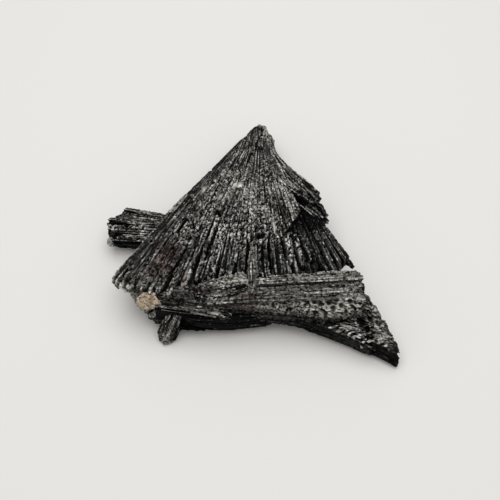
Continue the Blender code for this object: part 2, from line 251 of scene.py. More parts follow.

# %% [markdown]
# ## Pits, holes, chips and crust
# Small needles have fallen out of the crystal and left pits, and in the middle of the fan the blades are
# eaten to a sponge. A pit could be cut with a boolean, but there are thousands. Here each only lowers the
# grid points round its middle. A hole is a pit at a chosen place, painted black inside by a shadow line
# that fades out round its rim, and a chip is a small block that stands up. Lumps, pores and grit come
# from noise, as strong as the crust is at each place.

# %% Pits and crust
class Relief(BladeRelief):
    """The relief of blades, and what wears it."""

    def pits(self, count, where, sizes, depths):
        """Round and long pits. where gives the chance of one, from 0 to 1, at each place."""
        chance = where(self.places)
        picked = 0
        for _ in range(count * 30):
            if picked >= count:
                break
            column, row = self.draw.integers(0, chance.shape[0]), self.draw.integers(0, chance.shape[1])
            if self.draw.uniform() > chance[column, row]:
                continue
            picked += 1
            size, depth = self.draw.uniform(*sizes), self.draw.uniform(*depths)
            self.pit(column, row, size, depth, self.draw.uniform(1.0, 2.2))

    def hole(self, columns, x, y, size, depth):
        """One pit among these columns, at this place seen from above, painted black inside by a shadow
        line.
        """
        column, row, far = self.nearest(columns, x, y)
        self.pit(column, row, size, depth, 1.2)
        seam = self.seam[slice(*columns)]
        seam[:] = np.maximum(seam, np.clip(2.6 - 2.0 * far / size, 0, 1.2))

    def chip(self, columns, x, y, size, lift, lean, tone):
        """One small block among these columns, at this place seen from above."""
        column, row, _ = self.nearest(columns, x, y)
        along = self.along[column, row]
        start, end = (along - size) / self.length, (along + size) / self.length
        self.press(column, start, end, size * 1.4, lift, lean, 6.0, tone, jag=0.3, edge=0.1, ramp=0.008)

    def nearest(self, columns, x, y):
        """The grid place that lies closest to this one seen from above, and how far all of them lie."""
        first, last = columns
        far = np.hypot(self.places[first:last, :, 0] - x, self.places[first:last, :, 1] - y)
        column, row = np.unravel_index(np.argmin(far), far.shape)
        return first + column, row, far

    def pit(self, column, row, size, depth, stretch):
        reach = int(size * 6) + 4
        low, high = max(0, column - reach), column + reach + 1
        before, after = max(0, row - reach), row + reach + 1
        x = self.arc[low:high, before:after] - self.arc[column, row]
        y = (self.along[low:high, before:after] - self.along[column, row]) / stretch
        far = np.sqrt(x * x + y * y) / size
        self.height[low:high, before:after] -= depth * np.clip(1.3 - far, 0, 1) ** 0.6 * (far < 1.3)

    def sponge(self, crusty, lumps, seed):
        """Lumps, pores and grit, as strong as the crust is at each place."""
        x, y, z = np.moveaxis(self.places, 2, 0)
        self.height += lumps * crusty * rough(x * 1.5, y * 1.5, z * 1.5, seed)
        pores = noise(x * 1.25, y * 1.0, z * 1.25, seed + 7)
        pores = pores + 0.5 * noise(x * 2.3, y * 1.8, z * 2.3, seed + 8)
        self.height -= crusty * 0.8 * np.clip((pores - 0.32) * 6, 0, 1)
        self.height += 0.08 * rough(self.arc * 1.7, self.along * 1.1, self.blade * 7.3, seed + 1)
        self.height += self.draw.normal(0, 1, self.height.shape) * (0.03 + 0.05 * crusty)


trial = Relief(plate, np.zeros(30), np.random.default_rng(1), -1.0)
trial.hole((0, 30), 3.0, 10.0, 0.6, 1.5)
print("a hole in a trial plate is", round(-trial.height.min(), 2), "mm deep")

# %% [markdown]
# ## Closing the skin and handing it to Blender
# The rows past each end of the body are the broken ends. They step inwards to the line in the middle of
# the spray, with some noise so that they look snapped and not sawn. The last ring at each end is filled.

# %% Tuck in the broken ends
def tucked(edge, core, away, rings, seed, bite):
    """Rings from the edge of the body in to its core line, roughened along the direction away."""
    found = []
    for ring in range(1, rings + 1):
        share = ring / (rings + 0.6)
        place = edge + (core - edge) * share
        push = rough(place[:, 0] * 0.9, place[:, 1] * 0.9, place[:, 2] * 0.9, seed)
        place = place + away * (push * bite * min(1.0, 2.5 * share))[:, None]
        found.append(place)
    return found


rings = tucked(np.ones((3, 3)), np.zeros((3, 3)), np.zeros((3, 3)), 4, 1, 0.5)
print("rings of one end:", len(rings))


# %% Make the mesh and close it
def wrapped_mesh(name, places):
    """A grid of columns by rows wrapped so that its first and last columns meet."""
    columns, rows = places.shape[:2]
    bpy.ops.object.select_all(action="DESELECT")
    bpy.ops.mesh.primitive_grid_add(x_subdivisions=columns, y_subdivisions=rows - 1, size=2)
    piece = bpy.context.object
    piece.name = name
    flat = np.empty(len(piece.data.vertices) * 3)
    piece.data.vertices.foreach_get("co", flat)
    flat = flat.reshape(-1, 3)
    column = np.round((flat[:, 0] + 1) / 2 * columns).astype(int) % columns
    row = np.round((flat[:, 1] + 1) / 2 * (rows - 1)).astype(int)
    there = np.clip(places[column, row] - ORIGIN, LOW + SKIN, HIGH - SKIN) * MM
    piece.data.vertices.foreach_set("co", there.ravel())
    return piece, column, row


def note(piece, name, kind, values):
    """Stores one value, or one vector, for each point of the piece."""
    made = piece.data.attributes.new(name, kind, "POINT")
    values = np.ascontiguousarray(values, float).ravel()
    made.data.foreach_set("vector" if kind == "FLOAT_VECTOR" else "value", values)


def close_skin(piece):
    """Joins the seam, fills the two ends and points all faces outwards."""
    bpy.ops.object.mode_set(mode="EDIT")
    bpy.ops.mesh.select_all(action="SELECT")
    bpy.ops.mesh.remove_doubles(threshold=1e-7)
    bpy.ops.mesh.select_all(action="DESELECT")
    bpy.ops.mesh.select_non_manifold(extend=False, use_wire=False, use_multi_face=False, use_verts=False)
    bpy.ops.mesh.fill_holes(sides=0)
    bpy.ops.mesh.select_all(action="SELECT")
    bpy.ops.mesh.normals_make_consistent(inside=False)
    bpy.ops.object.mode_set(mode="OBJECT")
    bpy.ops.object.shade_smooth_by_angle(angle=math.radians(38))


print("a closed skin stays", SKIN, "mm inside the solids' box")

# %% [markdown]
# ## Soft patches
# Dust, rust, shade and crust are not the same all over. They could be painted by hand, which code can't
# repeat. Here each is a sum of soft round spots, given by their middle and their two half widths in mm.

# %% Patches of dust, rust and shade
def everywhere(value):
    """The same value at every place."""
    def same(places):
        return np.full(places.shape[:2], float(value))
    return same


def spot(x, y, wide, deep):
    """A soft patch, 1 in its middle."""
    def patch(places):
        return np.exp(-(((places[:, :, 0] - x) / wide) ** 2) - ((places[:, :, 1] - y) / deep) ** 2)
    return patch


def patches(*spots, base=0.0):
    def total(places):
        return np.clip(base + sum(strength * patch(places) for strength, patch in spots), 0, 2)
    return total


print("a spot in its middle:", patches((0.5, spot(1, 2, 3, 3)))(np.array([[[1.0, 2.0, 0.0]]]))[0, 0])

# %% [markdown]
# ## Look of the mineral
# Black kyanite is dark grey with a dull silver sheen. Light catches the broken edges as small flecks,
# which are metallic and also painted light in the colour. The material reads what the relief noted:
# streaks follow each blade, pits and gaps get painted shade and are nearly black, and the crust is dusty.
# Shader maths is easier to read as Python, so one small class turns + - * and ** on a socket into Math
# nodes.

# %% Shader maths as expressions
class Wire:
    """A number or vector that flows through a material."""

    def __init__(self, paint, socket):
        self.paint, self.socket = paint, socket

    def math(self, operation, *others, swap=False, clamp=False):
        values = [self, *others]
        if swap:
            values.reverse()
        settings = {"operation": operation, "use_clamp": clamp}
        node = self.paint.node("Math", settings, dict(enumerate(values)))
        return Wire(self.paint, node.outputs[0])

    def __add__(self, other):
        return self.math("ADD", other)

    def __sub__(self, other):
        return self.math("SUBTRACT", other)

    def __rsub__(self, other):
        return self.math("SUBTRACT", other, swap=True)

    def __mul__(self, other):
        return self.math("MULTIPLY", other)

    def __pow__(self, other):
        return self.math("POWER", other)

    __radd__, __rmul__ = __add__, __mul__

    def clip(self):
        return self.math("ADD", 0.0, clamp=True)


print("signs that a Wire understands: + - * and **")


# %% Materials and their nodes
class Paint:
    """A material and its nodes."""

    def __init__(self, name, roughness, ior, specular=0.5):
        self.material = bpy.data.materials.new(name)
        self.material.use_nodes = True
        self.tree = self.material.node_tree
        self.shader = self.tree.nodes["Principled BSDF"]
        self.shader.inputs["Roughness"].default_value = roughness
        self.shader.inputs["IOR"].default_value = ior
        self.shader.inputs["Specular IOR Level"].default_value = specular

    def node(self, kind, settings=None, values=None):
        """The one way to make a node: its type, its settings, then what its sockets get."""
        made = self.tree.nodes.new("ShaderNode" + kind)
        for name, value in (settings or {}).items():
            setattr(made, name, value)
        for name, value in (values or {}).items():
            self.feed(made.inputs[name], value)
        return made

    def feed(self, socket, value):
        if isinstance(value, Wire):
            self.tree.links.new(value.socket, socket)
        else:
            socket.default_value = value

    def out(self, node, name):
        return Wire(self, node.outputs[name])

    def read(self, name, output="Fac"):
        return self.out(self.node("Attribute", {"attribute_name": name}), output)

    def stretched(self, vector, scale):
        """A vector multiplied by three numbers."""
        node = self.node("VectorMath", {"operation": "MULTIPLY"}, {0: vector, 1: scale})
        return self.out(node, "Vector")

    def place(self):
        """The place on the object, in mm."""
        return self.stretched(self.out(self.node("TexCoord"), "Object"), (1000.0, 1000.0, 1000.0))

    def noise(self, vector, scale, detail=2.0, roughness=0.5):
        values = {"Vector": vector, "Scale": scale, "Detail": detail, "Roughness": roughness}
        return self.out(self.node("TexNoise", {}, values), "Fac")

    def cells(self, vector, scale):
        """Flakes with sharp edges: each has a value of its own."""
        node = self.node("TexVoronoi", {"distance": "MANHATTAN"}, {"Vector": vector, "Scale": scale})
        return self.out(node, "Color")

    def window(self, value, low, high, to_low=0.0, to_high=1.0):
        """value taken from low..high to to_low..to_high, and kept there."""
        values = {"Value": value, "From Min": low, "From Max": high, "To Min": to_low, "To Max": to_high}
        return self.out(self.node("MapRange", {"clamp": True}, values), "Result")

    def mix(self, share, first, second, blend="MIX"):
        settings = {"data_type": "RGBA", "blend_type": blend, "clamp_factor": True}
        return self.out(self.node("Mix", settings, {0: share, 6: first, 7: second}), 2)

    def finish(self, looks, height, strength, distance):
        """Links the looks to the shader, and a relief that is height times distance deep."""
        bump = self.node("Bump", {}, {"Height": height, "Strength": strength, "Distance": distance})
        for name, value in (looks | {"Normal": self.out(bump, "Normal")}).items():
            self.feed(self.shader.inputs[name], value)


print("Paint makes nodes of any kind")

# %% [markdown]
# ## The kyanite material
# Two patterns make the look. On clean faces fine striae run along each blade. On crusted faces the
# speckle of a sponge takes over. Ridges are worn light, with a painted highlight, and grooves get painted
# shade, so each broken edge is drawn. Depth paints shade into the gaps, side faces that look to the front
# get painted shade and are clean and black besides, and dust and rust tint small places.

# %% Patterns of the kyanite
kyanite = Paint("black_kyanite", 0.5, 1.6, 0.05)
grain = kyanite.read("grain", "Vector")
FACTS = ("tone", "depth", "ridge", "painted_shade", "crust", "rust", "dust")
tone, depth, ridge, painted_shade, crust, rust, dust = (kyanite.read(fact) for fact in FACTS)
in_mm = kyanite.place()

striae = kyanite.noise(kyanite.stretched(grain, (1.25, 0.08, 3.7)), 1.0, 3.0, 0.65)
chips = kyanite.noise(kyanite.stretched(grain, (1.25, 0.5, 5.1)), 1.0, 2.0, 0.65)
shards = kyanite.cells(kyanite.stretched(grain, (1.3, 0.4, 5.1)), 1.0)
speck = kyanite.noise(in_mm, 0.8, 2.0, 0.65)
grit = kyanite.window(kyanite.noise(in_mm, 1.35, 1.0, 0.6), 0.48, 0.56)
broad = kyanite.noise(in_mm, 0.14, 2.0)
print("pattern nodes:", len(kyanite.tree.nodes))

# %% Light and dark of the blades
BLACK, SILVER = (0.002, 0.002, 0.002, 1), (0.76, 0.744, 0.695, 1)
flakes = kyanite.window(shards, 0.35, 0.65)
clean = kyanite.window(striae, 0.46, 0.55) * 0.34 + flakes * 0.24 + grit * 0.16
spongy = kyanite.window(speck, 0.47, 0.55) * 0.36 + flakes * 0.3 + grit * 0.32
light = clean + (spongy - clean) * crust
# Ridges get a painted highlight and grooves painted shade, and tone lightens each blade at random.
light = light * (ridge * 0.4 + 1) + ridge * 0.14 + (tone - 0.6) * 0.34
light = light * kyanite.window(broad, 0.3, 0.7, 0.72, 1.25)
# Painted shade: depth darkens the gaps, creases and shadow lines, and steep faces that look to the front
# get painted shade.
light = (light * (1 - depth * 0.97) * (1 - painted_shade * 0.9)).clip()
colour = kyanite.mix(light**2.3, BLACK, SILVER)
print("nodes with light and dark:", len(kyanite.tree.nodes))

# %% [markdown]
# ## Flecks, dust and rust
# Worn edges throw back tiny flecks, which are the only shiny places: they are metallic, and their glint
# is also painted into the colour as a light fleck. Dust is pale and gathers on high faces, never in the
# gaps nor on faces in painted shade, and where it is thick it turns white. Blocks and chips of the
# highest tone are painted white as glints. Rust is a thin red-brown stain. Each is mixed over the last
# colour where its own pattern is strong.

# %% Flecks, dust and rust
FLECK_GLINT, DUST, DUST_AND_GLINT_WHITE = (0.75, 0.75, 0.7, 1), (0.62, 0.61, 0.54, 1), (0.95, 0.95, 0.92, 1)
RUST, DEEP_RUST = (0.5, 0.25, 0.22, 1), (0.06, 0.02, 0.018, 1)
painted_mark_strength = kyanite.window(ridge, 0.1, 0.5) * (1 - depth) * (1 - painted_shade * 0.7)
# Painted glint: light flecks on worn ridges, which are metallic and smoother as well.
glint_fleck = (kyanite.window(chips, 0.56, 0.62) * kyanite.window(speck, 0.52, 0.58) * painted_mark_strength).clip()
colour = kyanite.mix(glint_fleck * 0.85, colour, FLECK_GLINT)
cover = kyanite.window(speck + dust * 0.12, 0.46, 0.54)
pale = (dust * cover * (1 - depth * 0.92) * (1 - painted_shade * 0.7)).clip()
colour = kyanite.mix(pale * 0.92, colour, DUST)
# Thick dust turns white, and blades and chips of tone over 1.5 get a painted white glint.
white_dust_and_glint = (((dust - 1).clip() + (tone - 1.5).clip() * 0.8) * grit * (1 - depth)).clip()
colour = kyanite.mix(white_dust_and_glint, colour, DUST_AND_GLINT_WHITE)
stain = rust * kyanite.window(speck, 0.36, 0.6) * (1 - depth * 0.7)
colour = kyanite.mix(stain * 0.9, colour, RUST, "MULTIPLY")
colour = kyanite.mix(stain * 0.2, colour, DEEP_RUST)
print("nodes with dust and rust:", len(kyanite.tree.nodes))

# %% Join the patterns to the shader
dullness = kyanite.window(chips, 0.3, 0.7, 0.75, 0.42) - glint_fleck * 0.15
bumps = striae * 0.5 + chips * 0.4 + shards * 0.5 + grit * 0.3 + speck * crust * 0.6
kyanite.finish({"Base Color": colour, "Metallic": glint_fleck * 0.7, "Roughness": dullness}, bumps, 0.9, 0.0005)
print("nodes in all:", len(kyanite.tree.nodes))


# %% Dress a piece
def dress(piece, material, node):
    """Gives a piece its material, hides the solid of its node, and hangs the piece under the root body.
    """
    piece.data.materials.clear()
    piece.data.materials.append(material)
    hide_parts(node)
    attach(piece, "root")


print("a piece can be dressed in:", kyanite.material.name)

# %% [markdown]
# ## What a spray tells its material
# At each point the mesh keeps what the material reads. Depth, for the painted shade in the gaps, is how
# far a point lies under its neighbours, or on a painted shadow line. Ridge tells the worn edges and the
# grooves. Painted shade falls on the steep faces, most on those that look to the front, which are clean
# and nearly black as well. Grain is the place across and along the blade, for the fine striae.

# %% Facts at each point
def blurred(values, reach):
    """values averaged over a square of neighbours: the columns go round, the rows stop at the ends."""
    total = sum(np.roll(values, shift, 0) for shift in range(-reach, reach + 1))
    padded = np.pad(total, ((0, 0), (reach, reach)), mode="edge")
    rows = values.shape[1]
    total = sum(padded[:, shift : shift + rows] for shift in range(2 * reach + 1))
    return total / (2 * reach + 1) ** 2


def painted_gap_shade_of(relief):
    """Painted shade in the gaps: how deep each point lies, far under the smooth face or under its
    neighbours, or on a shadow line.
    """
    height = relief.height
    hollow = np.maximum((-0.4 - height) / 1.2, (blurred(height, 3) - height - 0.1) / 0.4)
    return np.clip(np.maximum(hollow, relief.seam), 0, 1)


def painted_shade_of(height, out, dark_and_shade, painted_shade_from):
    """Painted shade on steep faces, which are clean and black too, most on those facing the front, away
    from the lamp; and the dark patches, most where low.
    """
    forward = np.clip(-2 * out[:, :, 1], 0, 1)
    painted_shade = np.clip((painted_shade_from - out[:, :, 2]) / 0.5, 0, 1) * (0.45 + 0.55 * forward)
    return np.clip(np.maximum(painted_shade, dark_and_shade * np.clip(2.3 - height, 0.2, 1)), 0, 1)


print("one raised point, blurred:", blurred(np.eye(5), 1)[2, 2])


# %% Keep the facts on the mesh
def note_facts(piece, relief, facts, column, row, first_rows, rows):
    """Each point of the mesh keeps the facts of its own place, and those of the end past the end."""
    inside = np.clip(row - first_rows, 0, rows - 1)
    past_end = row > first_rows + rows - 1
    past = np.where(past_end, (row - first_rows - rows + 1) * 0.6, 0)
    along = relief.along[column, inside] + past
    grain = [relief.across[column, inside], along, relief.blade[column, inside]]
    note(piece, "grain", "FLOAT_VECTOR", np.stack(grain, 1))
    for fact, values in facts.items():
        found = values[column, inside]
        if fact == "depth":
            found = np.where(past_end, found * 0.5, found)
        note(piece, fact, "FLOAT", found)


print("facts kept beside the grain:", *FACTS)

# %% [markdown]
# ## One spray from start to end
# All sprays are made in the same steps: the smooth shape, its blades, its crust and pits, the tucked
# ends, the mesh with its facts, and the material. One function runs these steps, so each spray below
# only says what is its own: its lines, how its blades lie and end, and where it is crusted or dusty.

# %% Make a spray
def spray(
    name, corners, rows, blades, seed, floor=-2.3, reach=None, caps=(4, 8), bite=0.5, pits=(),
    crust=everywhere(0.3), rust=everywhere(0), dust=everywhere(0), dark_and_shade=everywhere(0), lumps=0.35,
    painted_shade_from=0.62,
):
    """A whole spray: corners give its smooth shape, and blades(relief, sides) presses its blades in."""
    draw = np.random.default_rng(seed)
    lines, sides = around(corners)
    reach = np.ones(len(sides)) if reach is None else reach(lines, sides, draw)
    smooth = body_places(lines, np.linspace(0, 1, rows), reach)
    relief = Relief(smooth, sides, draw, floor)
    blades(relief, sides)
    crusty = np.clip(crust(smooth), 0, 1)
    relief.sponge(crusty, lumps, seed + 3)
    for count, where, sizes, depths in pits:
        relief.pits(count, where, sizes, depths)
    height = relief.height
    out = outward(smooth)
    body = smooth + out * height[:, :, None]
    axis = lines[:, 1] - lines[:, 0]
    axis = axis / np.linalg.norm(axis, axis=1, keepdims=True)
    before = tucked(body[:, 0], lines[:, 2], -axis, caps[0], seed + 5, bite)
    after = tucked(body[:, -1], lines[:, 3], axis, caps[1], seed + 6, bite)
    places = np.stack(before[::-1] + list(np.moveaxis(body, 1, 0)) + after, 1)
    piece, column, row = wrapped_mesh(name, places)
    facts = {
        "tone": relief.tone,
        "depth": painted_gap_shade_of(relief),
        "ridge": np.clip((height - blurred(height, 2)) / 0.25, -1, 1),
        "painted_shade": painted_shade_of(height, out, dark_and_shade(smooth), painted_shade_from),
        "crust": crusty,
        "rust": rust(smooth),
        "dust": dust(smooth),
    }
    assert tuple(facts) == FACTS
    note_facts(piece, relief, facts, column, row, caps[0], rows)
    close_skin(piece)
    dress(piece, kyanite.material, "kyanite_fan")
    triangles = sum(len(face.vertices) - 2 for face in piece.data.polygons)
    print(name, "has", relief.count, "blades and", triangles, "triangles")


print("a spray takes its name, corners, rows, blades and seed")

# %% [markdown]
# ## The big spray
# The largest body spreads from its apex at the back, low on the table, to a rim in front. Its lines leave
# the apex at angles like the ribs of a hand fan. A small table says how far each rib reaches and how high
# it ends, and the ribs between are read off it.

# %% Lines of the big spray
APEX = np.array([2.7, 54.5, 12.5])
LEFT, RIGHT = -37.3, 27.6
REACH = {
    -37: 88.2, -33: 88.6, -30: 88.2, -28: 86.2, -24: 85.4, -20: 85.4, -15: 81.2, -9: 76.8, 0: 73.8,
    10: 72.8, 19: 73.0, 23: 72, 28: 68,
}
RISE = {
    -37: 17.6, -29: 18.2, -24: 19.4, -15: 21.8, -9: 23.2, 0: 23.6, 8: 22.6, 13: 20.0, 18: 17.2, 28: 15.4,
}
DOME = {-37: 1.3, -10: 1.9, 5: 1.6, 12: 0.3, 28: 0.0}


def between(table, angle):
    return float(np.interp(angle, list(table), list(table.values())))


def big_line(angle):
    """Root, outer end and swell of the upper face at this angle."""
    turn = math.radians(angle)
    across = (angle - LEFT) / (RIGHT - LEFT)
    reach, rise = between(REACH, angle), between(RISE, angle)
    root = np.array((-4.6 + 10.6 * across, 53.8 - 12.0 * (across - 0.5) ** 2, APEX[2] - 1.2))
    outer = np.array((APEX[0] + math.sin(turn) * reach, APEX[1] - math.cos(turn) * reach, rise))
    aside = 0.2 if angle < -34 else (-1.8 if angle > 24 else 0.0)
    return root, outer, np.array((aside, 0.0, between(DOME, angle)))


print("the middle rib is", between(REACH, 0), "mm long and ends", between(RISE, 0), "mm high")

# %% Corners of the big spray
def big_corner(angle, drop, columns):
    """A line of the big spray at this angle, drop mm below its upper face."""
    root, outer, swell = big_line(angle)
    core_root, core_outer = (root[0], root[1] - 1.0, 6.0), (outer[0], outer[1] + 0.6, outer[2] - 4.2)
    if drop:
        root, outer, swell = root - (0, 0, 11.6), outer - (0, 0, drop), swell * (1, 1, 0)
    return Corner(root, outer, core_root, core_outer, columns, swell)


def fan_corners(corner_at, top, under, drop, densities, edge_columns):
    """Corners from left to right over the top, down the right edge and back along the underside."""
    corners = [corner_at(a, 0.0, round((b - a) * densities[0])) for a, b in zip(top, top[1:])]
    corners.append(corner_at(top[-1], 0.0, edge_columns[0]))
    corners += [corner_at(a, drop, round((a - b) * densities[1])) for a, b in zip(under, under[1:])]
    corners.append(corner_at(under[-1], drop, edge_columns[1]))
    return corners


BIG_TOP = [LEFT, -35.6, -33, -29, -24, -19, -14, -9, -4, 0, 5, 10, 14, 18, 22, RIGHT]
BIG_UNDER = [RIGHT, 19, 10, 0, -9, -24, LEFT]
COLUMNS_A_DEGREE = (4.4, 1.25)
BIG_THICKNESS = 8.6
big_corners = fan_corners(big_corner, BIG_TOP, BIG_UNDER, BIG_THICKNESS, COLUMNS_A_DEGREE, (8, 9))
TOP_COLUMNS = sum(corner.columns for corner in big_corners[: len(BIG_TOP) - 1])
print("columns on the upper face:", TOP_COLUMNS)

# %% [markdown]
# ## Gaps, slabs and holes
# Most blades are strewn by chance, but the eye knows a specimen by its few large marks: the long black
# gaps near the rim, the broad slabs that lie on the rest, and some deep holes. These are placed one by
# one, each by its angle and its distance from the apex, or by where it is seen from above.

# %% Gaps, slabs and holes of the big spray
# Gaps that can be told apart: angle, distances from the apex where it starts and ends, and width.
GAPS = (
    (-16.8, 55, 75, 1.8), (-21.8, 63, 72, 1.7), (-4.6, 58, 73, 1.5), (-29.4, 56, 66, 1.6),
    (-25, 50, 61, 0.8), (-19.0, 73, 82, 1.2), (2.3, 55, 74, 1.0), (6.8, 52, 66, 1.4), (8.8, 66, 71, 1.3),
    (12.4, 60, 74, 1.0), (15.0, 50, 72, 1.2), (19.6, 50, 73, 0.9), (22.2, 46, 72, 0.9),
    (-12.5, 66, 80, 0.7), (-9.5, 60, 70, 0.6), (-21.0, 66, 80, 0.7), (-31.0, 66, 82, 0.8),
    (-33.4, 40, 70, 0.5), (10.6, 56, 66, 0.8), (17.4, 60, 74, 0.9),
)

# Broad slabs that lie on the others: angle, where they start and end, width and lift.
SLABS = (
    (14.6, 51, 64, 2.4, 2.4), (11.4, 51, 68, 2.2, 1.9), (5.8, 60, 74, 2.8, 1.0), (8.4, 52, 66, 2.0, 1.5),
    (17.8, 54, 66, 1.2, 1.2), (-14.2, 40, 80, 4.6, 0.9), (-19.5, 56, 80, 3.2, 1.0),
    (-9.0, 56, 75, 4.0, 0.8), (-25.8, 36, 68, 2.8, 0.9), (1.6, 48, 60, 2.6, 1.2),
    (-6.8, 40, 62, 3.0, 0.8), (20.8, 52, 72, 2.0, 1.7), (18.4, 60, 74, 2.0, 1.4),
    (23.4, 48, 70, 1.8, 1.8), (25.6, 44, 66, 1.8, 1.5),
)

# Holes, painted black inside: where they are seen from above, their size and depth.
HOLES = (
    (-13.2, 11.4, 1.2, 3.0), (-12.2, 9.9, 0.8, 2.4), (2.1, -1.3, 1.2, 3.0), (3.1, -0.4, 0.8, 2.4),
    (-17.6, 4.6, 0.7, 1.6), (6.4, 5.2, 0.6, 1.6), (9.6, 8.4, 0.7, 1.6), (-2.4, 9.4, 0.6, 1.5),
    (-8.6, 3.0, 0.6, 1.5), (3.2, 13.6, 0.6, 1.5),
)


def column_at(angle):
    """The column of the upper face that lies at this angle."""
    return (angle - LEFT) / (RIGHT - LEFT) * TOP_COLUMNS


def cut_gaps(relief, gaps, column, reach, start, widen, depth):
    """Cuts gaps into a fan whose blades begin at the distance start from the apex."""
    for angle, first, last, width in gaps:
        far = between(reach, angle)
        relief.groove(column(angle), (first - start) / far, (last - start) / far, width * widen, depth)


print("gaps, slabs and holes:", len(GAPS), len(SLABS), len(HOLES))

# %% [markdown]
# ## Blades of the big spray
# They are straight, one to three millimetres wide, and lie in layers that end at different distances. A
# full layer comes first, then broken ones on top of it. The left edge is a strip of fine unbroken blades.
# The marks come last, so that nothing covers them.

# %% Layers of blades
def big_layers(relief):
    whole = column_at(-21)
    relief.layer(13, (-1, whole), (0.0, 0.0), (1.0, 1.1), (1.8, 3.0), (-1.5, -0.5), 6.0)
    relief.layer(12, (0, whole), (0.0, 0.45), (0.96, 1.1), (1.6, 3.2), (-0.6, 0.3), 7.0)
    relief.layer(37, (whole, TOP_COLUMNS + 1), (0.0, 0.0), (0.92, 1.1), (1.8, 3.0), (-1.9, -0.7), 6.0)
    relief.layer(34, (whole, TOP_COLUMNS), (0.0, 0.45), (0.84, 1.1), (1.6, 3.2), (-0.9, 0.2), 7.0)
    relief.layer(28, (0, TOP_COLUMNS), (0.2, 0.6), (0.72, 1.1), (2.0, 4.2), (-0.3, 0.7), 10.0)
    relief.layer(24, (0, TOP_COLUMNS), (0.3, 0.8), (0.7, 1.1), (0.8, 1.6), (0.2, 1.0), 6.0)


def big_broken_blades(relief):
    draw = relief.draw
    for _ in range(100):
        angle = draw.uniform(-30, 26)
        end = 0.98 - abs(draw.normal(0, 0.16))
        start = max(0.02, end - draw.uniform(0.08, 0.4))
        lift, width = draw.uniform(0.1, 1.1), draw.uniform(1.0, 3.0)
        lean, tone = draw.uniform(-0.4, 0.4), draw.uniform(0, 1)
        relief.press(column_at(angle), start, end, width, lift, lean, 8.0, tone)


def big_left_strip(relief):
    draw = relief.draw
    for angle in np.linspace(LEFT + 0.3, LEFT + 9, 17):
        end, width, lift = draw.uniform(0.97, 1.1), draw.uniform(0.9, 2.0), draw.uniform(-0.2, 0.45)
        lean, tone = draw.uniform(-0.3, 0.3), draw.uniform(0.0, 0.8)
        relief.press(column_at(angle), 0.0, end, width, lift, lean, 5.0, tone, edge=0.6)
    relief.press(column_at(LEFT + 0.6), 0.0, 0.45, 2.2, 1.0, 0.0, 5.0, 0.4)
    relief.press(column_at(LEFT + 0.5), 0.45, 0.64, 2.4, 1.6, -0.2, 5.0, 0.5)


print("the left strip is", round(column_at(LEFT + 9)), "columns wide")


# %% Press all blades of the big spray
def press_big(relief, sides):
    big_layers(relief)
    big_broken_blades(relief)
    big_left_strip(relief)
    for angle, first, last, width, lift in SLABS:
        far = between(REACH, angle)
        relief.press(column_at(angle), (first - 1) / far, (last - 1) / far, width, lift, 0.1, 12.0, 0.5)
    relief.height[: int(column_at(-26))] *= 0.65
    cut_gaps(relief, GAPS, column_at, REACH, 1, 1.25, 2.6)
    for x, y, size, depth in HOLES:
        relief.hole((0, TOP_COLUMNS), x, y, size, depth)
    relief.layer(40, (TOP_COLUMNS, len(sides)), (0, 0.3), (0.8, 1.1), (2.0, 4.5), (-1.2, 0.2), 4.0)


print("the widest gap is", max(width for angle, first, last, width in GAPS), "mm wide")

# %% [markdown]
# ## Ends, crust and shade of the big spray
# The rim is torn: blades that lie side by side end together, some short of their neighbours. The middle
# is spongy and speckled, while the blades at the left and right edges are clean. The right ones lie deep
# in the shadow of the crust, painted in as shade, and are nearly black. All three are rules over the
# whole face rather than marks.

# %% Ends of the big spray
def stepped_ends(lines, sides, run, short):
    """How far each column goes: run(column) columns end together, short(column) mm short of full."""
    length = np.linalg.norm(lines[:, 1] - lines[:, 0], axis=1)
    ends, at = np.ones(len(sides)), 0
    while at < len(sides):
        together, missing = int(run(at)), short(at)
        ends[at : at + together] = 1 - missing / length[at : at + together]
        at += together
    return ends


def big_reach(lines, sides, draw):
    """Wider steps on the upper face than below, and the smallest ones short of the left strip."""
    def run(column):
        return draw.integers(4, 11) if column < TOP_COLUMNS else draw.integers(2, 5)

    def short(column):
        return abs(draw.normal(0, 0.35 if column < column_at(-24) else 1.1))
    return stepped_ends(lines, sides, run, short)


print("blades end in steps of 4 to 10 columns on the upper face")


# %% Crust and shade of the big spray
def from_apex(places):
    """Each place's angle at the apex and its distance from it, seen from above."""
    x, y = places[:, :, 0] - APEX[0], APEX[1] - places[:, :, 1]
    return np.degrees(np.arctan2(x, y)), np.hypot(x, y)


def big_crust(places):
    """More speckled in the middle, and nearly clean along the left edge and on the right."""
    x, y = places[:, :, 0], places[:, :, 1]
    angle, far = from_apex(places)
    strip = np.clip((angle + 34.5) / 5, 0, 1)
    right = np.clip((16 - angle) / 4, 0, 1)
    patchy = 0.45 + 0.3 * noise(x * 0.14, y * 0.14, 3.0, 71)
    patchy += 0.4 * np.clip((64 - far) / 10, 0, 1) * np.clip((far - 24) / 10, 0, 1)
    rim = np.clip((far - 81) / 4, 0, 1) * np.clip((-24 - angle) / 4, 0, 1)
    return np.clip(patchy * strip * (0.3 + 0.7 * right) + 0.7 * rim, 0.08, 1)


def big_dark_and_shade(places):
    """Painted shade on the recessed blades at the right, in the crust's shadow and clean and black too; a
    little darker towards the rim and in a narrow strip at the left edge.
    """
    angle, far = from_apex(places)
    right = np.clip((angle - 9) / 4, 0, 1) * (0.5 + 0.45 * np.clip((56 - far) / 8, 0, 1))
    return right + np.clip((far - 58) / 6, 0, 1) * 0.2 + np.clip((-13 - angle) / 9, 0, 1) * 0.06


print("crust in the middle:", round(float(big_crust(np.array([[[0.0, 0.0, 0.0]]]))[0, 0]), 2))

